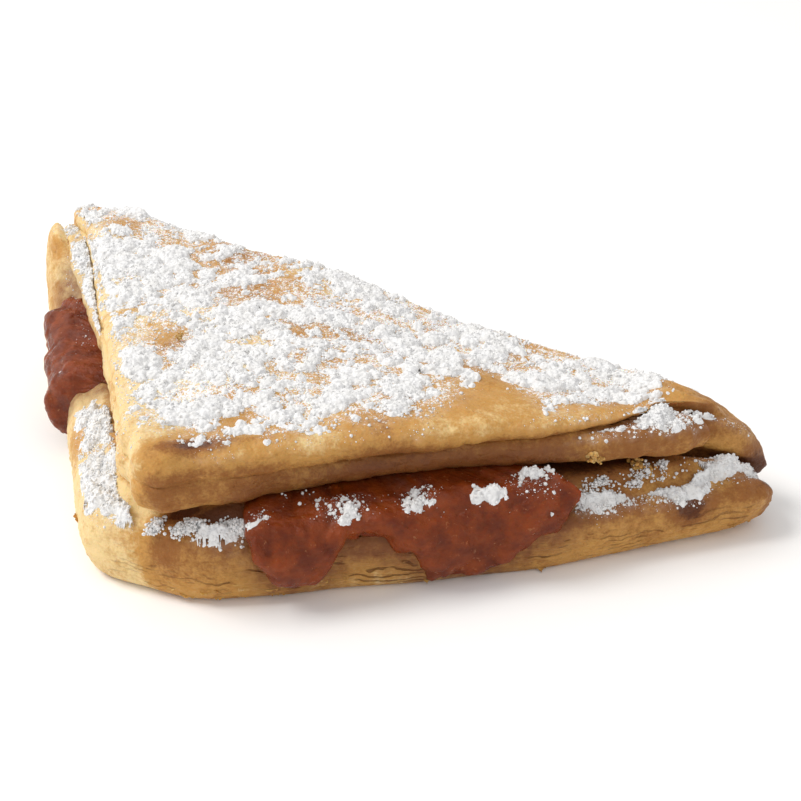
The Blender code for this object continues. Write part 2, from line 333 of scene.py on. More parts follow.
@dataclass(frozen=True)
class Plan:
    """The plan of the lower flap, as a soft minimum over straight sides.

    Each side is a direction in degrees and a distance from the origin in millimetres.
    """

    cut_reach: float = 36.9
    front: Pair = (-90.0, 36.9)
    left: Pair = (180.0, 36.9)
    fold: Pair = (45.0, 38.0)
    right_tip: Pair = (-22.5, 84.6)
    back_tip: Pair = (112.5, 84.2)
    square_corner: Pair = (-135.0, 42.6)
    corner_sharpness: int = 26
    fold_leaves: Pair = (62.5, 72.0)
    fold_joins: Pair = (289.5, 296.0)
    edge_steps: int = 8001

    def outline(self, angle: Array, setback: Array | float) -> Array:
        """Find how far the plan's edge lies in each direction.

        For each side, the cosine of the angle to it is divided by its distance less the setback,
        and raised to the sharpness. The sum, to the power of minus one over the sharpness, is
        the distance.

        Args:
            angle: directions, in radians.
            setback: how far inside the edge to measure, in metres.

        Returns:
            Distances from the origin, in metres.
        """
        total = 0.0
        sides = (self.front, self.left, self.fold, self.right_tip, self.back_tip, self.square_corner)
        for direction, reach in sides:
            facing = np.clip(np.cos(angle - np.radians(direction)), 0.0, None)
            total = total + (facing / (reach * MM - setback)) ** self.corner_sharpness
        return total ** (-1.0 / self.corner_sharpness)

    def turn_of(self, angle: Array) -> Array:
        """Turn a direction in radians into degrees from the middle of the fold, clockwise."""
        return np.degrees(np.radians(self.fold[0]) - angle) % 360.0

    def fold_share(self, turn: Array) -> Array:
        """Give 1 on the fold and 0 on the cut sides, with a short blend at each tip."""
        return 1.0 - step(turn, *self.fold_leaves) + step(turn, *self.fold_joins)

    def spread_angles(self, count: int, fold_density: float) -> Array:
        """Space directions evenly along the edge, with fewer of them along the fold.

        Args:
            count: how many columns.
            fold_density: how dense the columns are on the fold, against 1 on the cut sides.

        Returns:
            Directions in radians, clockwise from the middle of the fold.
        """
        fine = np.radians(self.fold[0]) - np.linspace(0.0, 2.0 * np.pi, self.edge_steps)
        reach = self.outline(fine, 0.0)
        gaps = np.hypot(np.diff(reach * np.cos(fine)), np.diff(reach * np.sin(fine)))
        gaps = gaps * (1.0 - (1.0 - fold_density) * self.fold_share(self.turn_of(fine[1:])))
        walked = np.concatenate([[0.0], np.cumsum(gaps)])
        return np.interp(np.arange(count) / count * walked[-1], walked, fine)


class Columns:
    """Where each column of points stands: its direction, its share of fold and its walk."""

    def __init__(self, plan: Plan, count: int, fold_density: float) -> None:
        """Spread the columns round the plan.

        Args:
            plan: the turnover's plan.
            count: how many columns.
            fold_density: how dense they are on the fold.
        """
        self.plan = plan
        self.angle = plan.spread_angles(count, fold_density)
        self.turn = plan.turn_of(self.angle)
        self.fold = plan.fold_share(self.turn)
        x, y = self.at(0.0)
        self.walk = x - y

    def at(self, setback: Array | float) -> TwoArrays:
        """Give X and Y of the plan's points at a setback from its edge."""
        reach = self.plan.outline(self.angle, setback)
        return reach * np.cos(self.angle), reach * np.sin(self.angle)

    def rings(self, rows: list[TwoArrays]) -> Array:
        """Turn rows of setback and height into points.

        Args:
            rows: setback and height of each ring, in metres.

        Returns:
            Points, rings x columns x 3.
        """
        rings = []
        for setback, height in rows:
            x, y = self.at(setback)
            rings.append(np.stack([x, y, np.broadcast_to(height, x.shape)], axis=-1))
        return np.array(rings)


def edge_point(
    turn: float,
    setback: Array,
    round_top: Array | float,
    round_bottom: Array | float,
    top: Array,
    widest: Array,
    bottom: Array | float,
    power: Array | float = 2.0,
) -> TwoArrays:
    """Give one ring of a rounded edge: a quarter ellipse to its widest height, one under it.

    The cosine and sine of the turn are divided by the length of that pair, measured with the
    power. A power below 2 flattens both quarters towards a straight slope.

    Args:
        turn: from half pi at the top, by way of 0 at the widest height, to minus half pi.
        setback: where the widest ring stands.
        round_top: how far the top ring stands behind it.
        round_bottom: how far the bottom ring stands behind it.
        top: height of the top ring.
        widest: height of the widest ring.
        bottom: height of the bottom ring.
        power: how the section is rounded.

    Returns:
        The ring's setback and height.
    """
    upper = turn >= 0.0
    out, up = math.cos(turn), abs(math.sin(turn))
    length = (out**power + up**power) ** (1.0 / power)
    inward = (1.0 - out / length) * (round_top if upper else round_bottom)
    rise = (top - widest if upper else bottom - widest) * up / length
    return setback + inward, widest + rise


@dataclass(frozen=True)
class Top:
    """The lid's top: level, with a sag behind its right half and a rise at its back end."""

    height: float = 25.5
    sag_along_fold: Pairs = ((-20, 0), (26, 5.2), (38, 5.2), (50, 6.2), (62, 2.4), (70, 0.6))
    sag_start: float = -6.0
    sag_end: float = 36.0
    right_end: Pair = (30.0, 62.0)
    right_end_drop: float = 0.8
    back_end_rise: float = 2.0
    back_end_place: float = -58.0
    back_end_width: float = 13.0
    blister_height: float = 0.45
    blister_waves: Pair = (5.1, 4.3)
    blister_shift: float = 0.8
    ripple_height: float = 0.25
    ripple_waves: Pair = (2.7, 3.3)
    ripple_shift: float = 1.9

    def at(self, x: Array, y: Array) -> Array:
        """Find the lid's height over a point of the plan, before its fine relief.

        Args:
            x: places along the front side, in metres.
            y: places along the left side, in metres.

        Returns:
            Heights over the table, in metres.
        """
        to_fold = (x + y) / math.sqrt(2.0)
        along_fold = (x - y) / math.sqrt(2.0)
        sag = profile(along_fold, self.sag_along_fold) * step(to_fold, self.sag_start * MM, self.sag_end * MM)
        drop = self.right_end_drop * MM * climb(along_fold, self.right_end)
        drop = drop * (1.0 - step(to_fold, 0.0, self.sag_end * MM))
        rise = self.back_end_rise * MM * bump(along_fold, self.back_end_place * MM, self.back_end_width * MM)
        first, second = (wave * MM for wave in self.blister_waves)
        blisters = self.blister_height * MM * np.sin(x / first) * np.sin(y / second + self.blister_shift)
        first, second = (wave * MM for wave in self.ripple_waves)
        crossing = np.sin((x + y) / first + self.ripple_shift) * np.sin((x - y) / second)
        ripples = self.ripple_height * MM * crossing
        return self.height * MM - sag - drop + rise + blisters + ripples


@dataclass(frozen=True)
class Spot:
    """A round patch on the surface, such as a browned or bare one, in millimetres."""

    place: Triple
    radii: Triple
    amount: float

    def over(self, points: Array) -> Array:
        """Give the patch's strength, a bell over each axis, at each point."""
        apart = (points - np.array(self.place) * MM) / (np.array(self.radii) * MM)
        return self.amount * np.exp(-np.sum(apart**2, axis=-1))


def picks(chance: np.random.Generator, weight: Array, count: int) -> Array:
    """Pick points at random, by weight."""
    share = np.cumsum(weight.ravel())
    return np.searchsorted(share, chance.uniform(0.0, share[-1], count))


def all_spots(points: Array, spots: tuple[Spot, ...]) -> Array:
    """Add up the patches at each point."""
    return sum((spot.over(points) for spot in spots), np.zeros(points.shape[:-1]))


@dataclass(frozen=True)
class Waves:
    """One layer of noise: its height, its width in millimetres, its seed and its finer layers."""

    height: float
    width: float
    seed: int
    octaves: int = 1

    def over(self, points: Array, unit: float = 1.0) -> Array:
        """Give the layer at each point, its height counted in the unit."""
        return self.height * unit * waves(points, self.width * MM, self.seed, self.octaves)


@dataclass(frozen=True)
class Lumps:
    """One layer of round lumps: height, width in millimetres, seed, fill and the level of 0."""

    height: float
    width: float
    seed: int
    fill: float
    level: float = 0.0

    def over(self, points: Array, unit: float = 1.0) -> Array:
        """Give the layer at each point, its height counted in the unit."""
        return self.height * unit * (heaps(points, self.width * MM, self.seed, self.fill) - self.level)


def layered(points: Array, layers: tuple[Waves | Lumps, ...], unit: float = 1.0) -> Array:
    """Add up layers of noise or lumps at each point."""
    return sum((layer.over(points, unit) for layer in layers), np.zeros(points.shape[:-1]))


# Finishes


class Finish(Enum):
    """The finishes, each with its material's name and the record's slot."""

    CRUST = ("baked_crust", "crust")
    FLAKE = ("pastry_flake", "crust")
    JAM = ("fruit_jam", "filling")
    SUGAR = ("icing_sugar", "")
    FLOOR = ("pale_floor", "")


# The Mix node has its sockets once for each kind of value, and these are the ones for colours.
COLOUR_MIX_INPUTS = (0, 6, 7)
COLOUR_MIX_RESULT = 2


class Nodes:
    """Short calls for building a node tree."""

    def __init__(self, tree: Tree) -> None:
        """Hold the tree that the calls add to."""
        self.tree = tree

    def add(self, kind: str, **settings: object) -> Node:
        """Add a node and set its own properties.

        Args:
            kind: the node's type name.
            **settings: properties of the node.

        Returns:
            The node.
        """
        node = self.tree.nodes.new(kind)
        for name, value in settings.items():
            setattr(node, name, value)
        return node

    def join(self, source: Socket, target: Socket) -> None:
        """Link one socket to another."""
        self.tree.links.new(source, target)

    def feed(self, socket: Socket, value: object) -> None:
        """Link a socket to another one, or set it to a plain value.

        Args:
            socket: the input to feed.
            value: a socket, a number or a colour.
        """
        if isinstance(value, Socket):
            self.join(value, socket)
        else:
            socket.default_value = value

    def feed_all(self, node: Node, values: dict[str, object]) -> Node:
        """Feed several inputs of a node by their names, and give the node back."""
        for name, value in values.items():
            self.feed(node.inputs[name], value)
        return node

    def math(self, operation: str, first: object, second: object = 0.0, clamp: bool = False) -> Socket:
        """Add a Math node.

        Args:
            operation: its operation.
            first: the first value or socket.
            second: the second value or socket.
            clamp: whether to keep the result from 0 to 1.

        Returns:
            Its result.
        """
        node = self.add("ShaderNodeMath", operation=operation, use_clamp=clamp)
        self.feed(node.inputs[0], first)
        self.feed(node.inputs[1], second)
        return node.outputs[0]

    def plus(self, first: object, second: object) -> Socket:
        """Add two values."""
        return self.math("ADD", first, second)

    def minus(self, first: object, second: object) -> Socket:
        """Take the second value from the first."""
        return self.math("SUBTRACT", first, second)

    def times(self, first: object, second: object) -> Socket:
        """Multiply two values."""
        return self.math("MULTIPLY", first, second)

    def span(
        self, value: object, low: float, high: float, start: float = 0.0, end: float = 1.0
    ) -> Socket:
        """Map a value smoothly from low..high to start..end, clamped.

        Args:
            value: the socket to read.
            low: the value that gives start.
            high: the value that gives end.
            start: result at low.
            end: result at high.

        Returns:
            The mapped value.
        """
        node = self.add("ShaderNodeMapRange", interpolation_type="SMOOTHSTEP")
        for socket, item in zip(node.inputs, (value, low, high, start, end)):
            self.feed(socket, item)
        return node.outputs[0]

    def blend(self, share: object, under: object, over: object) -> Socket:
        """Blend two colours.

        Args:
            share: how much of the second shows.
            under: the first colour or socket.
            over: the second colour or socket.

        Returns:
            The blended colour.
        """
        node = self.add("ShaderNodeMix", data_type="RGBA")
        for number, value in zip(COLOUR_MIX_INPUTS, (share, under, over)):
            self.feed(node.inputs[number], value)
        return node.outputs[COLOUR_MIX_RESULT]

    def noise(self, place: Socket, scale: float, detail: float, rough: float) -> Socket:
        """Add a Noise Texture and give its value.

        Args:
            place: coordinates, in metres.
            scale: waves to a metre.
            detail: number of finer layers.
            rough: how strong they are.

        Returns:
            The noise value.
        """
        node = self.add("ShaderNodeTexNoise")
        self.feed_all(node, {"Vector": place, "Scale": scale, "Detail": detail, "Roughness": rough})
        return node.outputs["Fac"]

    def cells(self, place: Socket, scale: float, feature: str) -> Socket:
        """Add a Voronoi Texture and give its distance to the nearest point."""
        node = self.add("ShaderNodeTexVoronoi", feature=feature)
        return self.feed_all(node, {"Vector": place, "Scale": scale}).outputs["Distance"]

    def stretched(self, place: Socket, scale: Triple) -> Socket:
        """Scale coordinates along each axis."""
        return self.feed_all(self.add("ShaderNodeMapping"), {"Vector": place, "Scale": scale}).outputs[0]

    def bumped(self, height: Socket, strength: float, depth: float) -> Socket:
        """Turn a height into a normal.

        Args:
            height: the height, from 0 to about 1.
            strength: how much of the bump shows.
            depth: how deep a height of 1 is, in metres.

        Returns:
            The normal.
        """
        values = {"Height": height, "Strength": strength, "Distance": depth}
        return self.feed_all(self.add("ShaderNodeBump"), values).outputs["Normal"]

    def placed(self, effect: Tree, **values: object) -> Node:
        """Place a group and feed its inputs by name."""
        return self.feed_all(self.add("ShaderNodeGroup", node_tree=effect), values)

    def mask(self, name: str) -> Socket:
        """Read a number stored at the mesh's vertices."""
        return self.add("ShaderNodeAttribute", attribute_name=name).outputs["Fac"]

    def place(self) -> Socket:
        """Give the Object coordinates."""
        return self.add("ShaderNodeTexCoord").outputs["Object"]


def new_group(name: str, inputs: dict[str, str], outputs: dict[str, str]) -> tuple[Nodes, Node, Node]:
    """Start a shader node group with named sockets.

    Args:
        name: the group's name.
        inputs: each input's name and socket type.
        outputs: each output's name and socket type.

    Returns:
        The calls that build the group, its input node and its output node.
    """
    tree = bpy.data.node_groups.new(name, "ShaderNodeTree")
    for way, sockets in (("INPUT", inputs), ("OUTPUT", outputs)):
        for label, kind in sockets.items():
            tree.interface.new_socket(name=label, in_out=way, socket_type=kind)
    nodes = Nodes(tree)
    return nodes, nodes.add("NodeGroupInput"), nodes.add("NodeGroupOutput")


@dataclass(frozen=True)
class Effects:
    """The effects that materials share, each built once, when it is first asked for.

    Scales are waves to a metre. A pair after "from" is where a mask is 0 and where it is full.
    """

    dust_white: Colour = (0.90, 0.895, 0.89, 1.0)
    dust_scales: Pair = (2900.0, 800.0)
    dust_shares: Pair = (0.6, 0.4)
    dust_cut: float = 0.70
    dust_gain: float = 0.34
    dust_from: Pair = (-0.02, 0.09)
    dust_amount_from: Pair = (0.02, 0.25)
    haze_from: Pair = (0.25, 0.75)
    haze_share: float = 0.40
    grain_scale: float = 1500.0
    grain_share: float = 0.5
    pore_scale: float = 900.0
    pore_width: float = 0.35
    pore_share: float = 0.2
    layer_scale: float = 2100.0
    layer_stretch: Triple = (0.12, 0.12, 1.0)
    gap_step: float = 1.15
    gap_from: Pair = (0.17, 0.05)
    gap_wander: float = 6.0
    gap_wander_scale: float = 130.0
    gap_break_scale: float = 330.0
    gap_break_from: Pair = (0.52, 0.60)
    gap_stretch: Triple = (0.45, 0.45, 1.5)

    @cached_property
    def dust(self) -> Tree:
        """Fine sugar dust: specks where noise stands above a cut that the amount lowers, and haze.

        Returns:
            The group. It puts out a dusted colour and the dust's mask.
        """
        nodes, source, result = new_group(
            "Sugar dust",
            {"Color": "NodeSocketColor", "Amount": "NodeSocketFloat", "Place": "NodeSocketVector"},
            {"Color": "NodeSocketColor", "Mask": "NodeSocketFloat"},
        )
        amount, place = source.outputs["Amount"], source.outputs["Place"]
        fine = nodes.noise(place, self.dust_scales[0], 2.0, 0.7)
        wide = nodes.noise(place, self.dust_scales[1], 2.0, 0.6)
        level = nodes.plus(nodes.times(fine, self.dust_shares[0]), nodes.times(wide, self.dust_shares[1]))
        cut = nodes.minus(self.dust_cut, nodes.times(amount, self.dust_gain))
        shown = nodes.span(nodes.minus(level, cut), *self.dust_from)
        grains = nodes.times(shown, nodes.span(amount, *self.dust_amount_from))
        haze = nodes.times(nodes.span(wide, *self.haze_from), amount)
        held = nodes.math("MAXIMUM", grains, nodes.times(haze, self.haze_share), True)
        nodes.join(held, result.inputs["Mask"])
        nodes.join(nodes.blend(held, source.outputs["Color"], self.dust_white), result.inputs["Color"])
        return nodes.tree

    @cached_property
    def crumb(self) -> Tree:
        """The height of a dry baked surface: fine grain, small pits and thin torn leaves.

        Returns:
            The group. It puts out a height.
        """
        nodes, source, result = new_group(
            "Baked grain",
            {"Place": "NodeSocketVector", "Leaves": "NodeSocketFloat"},
            {"Height": "NodeSocketFloat"},
        )
        place = source.outputs["Place"]
        grain = nodes.noise(place, self.grain_scale, 4.0, 0.65)
        pits = nodes.span(nodes.cells(place, self.pore_scale, "F1"), 0.0, self.pore_width)
        layers = nodes.noise(nodes.stretched(place, self.layer_stretch), self.layer_scale, 3.0, 0.6)
        body = nodes.plus(nodes.times(grain, self.grain_share), nodes.times(pits, self.pore_share))
        torn = nodes.times(layers, source.outputs["Leaves"])
        nodes.join(nodes.plus(body, torn), result.inputs["Height"])
        return nodes.tree

    @cached_property
    def torn(self) -> Tree:
        """The thin dark gaps between torn leaves of dough, as broken, wandering lines.

        A line shows where the height, pushed up and down by noise, passes a whole step.

        Returns:
            The group. It puts out the gaps' mask.
        """
        nodes, source, result = new_group(
            "Torn leaves",
            {"Place": "NodeSocketVector", "Amount": "NodeSocketFloat"},
            {"Mask": "NodeSocketFloat"},
        )
        place = source.outputs["Place"]
        split = nodes.add("ShaderNodeSeparateXYZ")
        nodes.join(place, split.inputs[0])
        slow = nodes.times(nodes.noise(place, self.gap_wander_scale, 3.0, 0.5), self.gap_wander * MM)
        pushed = nodes.plus(split.outputs["Z"], slow)
        steps = nodes.math("FRACT", nodes.math("DIVIDE", pushed, self.gap_step * MM))
        apart = nodes.math("ABSOLUTE", nodes.minus(steps, 0.5))
        none, full = self.gap_from
        line = nodes.span(apart, full, none, 1.0, 0.0)
        long = nodes.stretched(place, self.gap_stretch)
        broken = nodes.span(nodes.noise(long, self.gap_break_scale, 2.0, 0.5), *self.gap_break_from)
        shown = nodes.math("MULTIPLY", nodes.times(line, broken), source.outputs["Amount"], True)
        nodes.join(shown, result.inputs["Mask"])
        return nodes.tree


def new_material(finish: Finish) -> tuple[bpy.types.Material, Nodes, Node]:
    """Start a material.

    Args:
        finish: which one.

    Returns:
        The material, the calls that build it, and its shader.
    """
    material = bpy.data.materials.new(finish.value[0])
    material.use_nodes = True
    nodes = Nodes(material.node_tree)
    return material, nodes, material.node_tree.nodes["Principled BSDF"]


@dataclass(frozen=True)
class CrustFinish:
    """Baked puff pastry: pale between the leaves, golden outside, brown where it caught.

    Each mottle is a noise's scale, its finer layers and how much it changes the browning. A pair
    after "from" is the browning between which that colour comes in.
    """

    pale: Colour = (0.83, 0.62, 0.30, 1.0)
    golden: Colour = (0.56, 0.29, 0.076, 1.0)
    golden_from: Pair = (0.05, 0.40)
    brown: Colour = (0.29, 0.112, 0.026, 1.0)
    brown_from: Pair = (0.40, 0.78)
    dark: Colour = (0.11, 0.032, 0.009, 1.0)
    dark_from: Pair = (0.78, 1.12)
    # Jam stain, and under the lid's lip partly painted shade.
    damp_and_shade: Colour = (0.19, 0.062, 0.020, 1.0)
    damp_and_shade_share: float = 0.85
    mottles: tuple[Triple, ...] = ((150.0, 4.0, 0.42), (620.0, 3.0, 0.46), (2300.0, 2.0, 0.34))
    gap_shade: float = 0.62
    gap_depth: float = 0.8
    roughness: Pair = (0.30, 0.70)
    relief: float = 0.46
    glow_depth: float = 1.6

    def build(self, effects: Effects, finish: Finish = Finish.CRUST) -> bpy.types.Material:
        """Build the material.

        Args:
            effects: the shared groups.
            finish: the crust, or its loose flakes.

        Returns:
            The material.
        """
        material, nodes, shader = new_material(finish)
        place = nodes.place()
        # This mask holds browning together with painted shade on the front and in the pocket, and painted
        # light on the left side.
        baked = nodes.mask("browning_and_painted_light")
        patterns = [nodes.noise(place, scale, detail, 0.6) for scale, detail, _ in self.mottles]
        for pattern, (_, _, strength) in zip(patterns, self.mottles):
            baked = nodes.plus(baked, nodes.times(nodes.minus(pattern, 0.5), strength))
        mottle = patterns[1]
        colour = nodes.blend(nodes.span(baked, *self.golden_from), self.pale, self.golden)
        colour = nodes.blend(nodes.span(baked, *self.brown_from), colour, self.brown)
        colour = nodes.blend(nodes.span(baked, *self.dark_from), colour, self.dark)
        # The damp mask is jam stain, and under the lid's lip partly painted shade.
        soaked = nodes.times(nodes.mask("damp_and_shade"), nodes.span(mottle, 0.2, 0.7, 0.55, 1.0))
        colour = nodes.blend(nodes.times(soaked, self.damp_and_shade_share), colour, self.damp_and_shade)
        leaves = nodes.mask("leaves")
        gaps = nodes.placed(effects.torn, Place=place, Amount=leaves).outputs["Mask"]
        colour = nodes.blend(nodes.times(gaps, self.gap_shade), colour, self.dark)
        dusted = nodes.placed(effects.dust, Color=colour, Amount=nodes.mask("dust"), Place=place)
        dry = nodes.plus(mottle, nodes.times(soaked, -0.5))
        rough = nodes.span(dry, 0.1, 0.8, *self.roughness)
        grain = nodes.placed(effects.crumb, Place=place, Leaves=leaves)
        height = nodes.minus(grain.outputs["Height"], nodes.times(gaps, self.gap_depth))
        looks = {
            "Base Color": dusted.outputs["Color"],
            "Roughness": nodes.math("MAXIMUM", rough, dusted.outputs["Mask"]),
            "Specular IOR Level": 0.22,
            "Subsurface Weight": 0.18,
            "Subsurface Radius": (1.0, 0.42, 0.16),
            "Subsurface Scale": self.glow_depth * MM,
            "Normal": nodes.bumped(height, 1.0, self.relief * MM),
        }
        nodes.feed_all(shader, looks)
        return material


@dataclass(frozen=True)
class JamFinish:
    """Moist fruit jam: brown red, glossy, with pulp and paler specks in it."""

    deep: Colour = (0.13, 0.019, 0.003, 1.0)
    bright: Colour = (0.26, 0.048, 0.006, 1.0)
    speck: Colour = (0.50, 0.20, 0.07, 1.0)
    speck_from: Pair = (0.60, 0.74)
    speck_share: float = 0.45
    pulp_scale: float = 260.0
    fibre_scale: float = 950.0
    roughness: Pair = (0.10, 0.28)
    relief: float = 0.75
    glow_depth: float = 2.2

    def build(self, effects: Effects) -> bpy.types.Material:
        """Build the material.

        Args:
            effects: the shared groups.

        Returns:
            The material.
        """
        material, nodes, shader = new_material(Finish.JAM)
        place = nodes.place()
        pulp = nodes.noise(place, self.pulp_scale, 5.0, 0.6)
        fibre = nodes.noise(place, self.fibre_scale, 4.0, 0.7)
        colour = nodes.blend(nodes.span(pulp, 0.3, 0.7), self.deep, self.bright)
        specks = nodes.times(nodes.span(fibre, *self.speck_from), self.speck_share)
        colour = nodes.blend(specks, colour, self.speck)
        dusted = nodes.placed(effects.dust, Color=colour, Amount=nodes.mask("dust"), Place=place)
        rough = nodes.span(fibre, 0.3, 0.7, *self.roughness)
        height = nodes.plus(nodes.times(fibre, 0.6), nodes.times(pulp, 0.4))
        looks = {
            "Base Color": dusted.outputs["Color"],
            "Roughness": nodes.math("MAXIMUM", rough, dusted.outputs["Mask"]),
            "Specular IOR Level": 0.22,
            "Subsurface Weight": 0.40,
            "Subsurface Radius": (1.0, 0.25, 0.12),
            "Subsurface Scale": self.glow_depth * MM,
            "Normal": nodes.bumped(height, 0.9, self.relief * MM),
        }
        nodes.feed_all(shader, looks)
        return material


@dataclass(frozen=True)
class SugarFinish:
    """Icing sugar: soft white powder that clumps into round grains, with painted shade in the hollows between
    them.
    """

    white: Colour = (0.875, 0.875, 0.88, 1.0)
    cream: Colour = (0.84, 0.835, 0.825, 1.0)
    # Painted shade for the hollows between grains.
    hollow_shade: Colour = (0.56, 0.56, 0.58, 1.0)
    hollow_shade_share: float = 0.45
    patch_scale: float = 420.0
    fine_scale: float = 3000.0
    grain_scale: float = 1700.0
    grain_from: Pair = (0.15, 0.75)
    roughness: Pair = (0.8, 1.0)
    relief: float = 0.34

    def build(self) -> bpy.types.Material:
        """Build the material.

        Returns:
            The material.
        """
        material, nodes, shader = new_material(Finish.SUGAR)
        place = nodes.place()
        wide = nodes.noise(place, self.patch_scale, 3.0, 0.6)
        fine = nodes.noise(place, self.fine_scale, 4.0, 0.75)
        grains = nodes.cells(place, self.grain_scale, "SMOOTH_F1")
        round_tops = nodes.span(grains, *self.grain_from, 1.0, 0.0)
        colour = nodes.blend(nodes.span(wide, 0.35, 0.7), self.white, self.cream)
        # Painted shade: the hollows between the round grains are darkened toward grey.
        hollow_shades = nodes.times(nodes.span(round_tops, 0.0, 0.4, 1.0, 0.0), self.hollow_shade_share)
        height = nodes.plus(nodes.times(fine, 0.35), nodes.times(round_tops, 0.65))
        looks = {
            "Base Color": nodes.blend(hollow_shades, colour, self.hollow_shade),
            "Roughness": nodes.span(fine, 0.2, 0.8, *self.roughness),
            "Specular IOR Level": 0.1,
            "Normal": nodes.bumped(height, 0.8, self.relief * MM),
        }
        nodes.feed_all(shader, looks)
        return material


# The pieces of the turnover


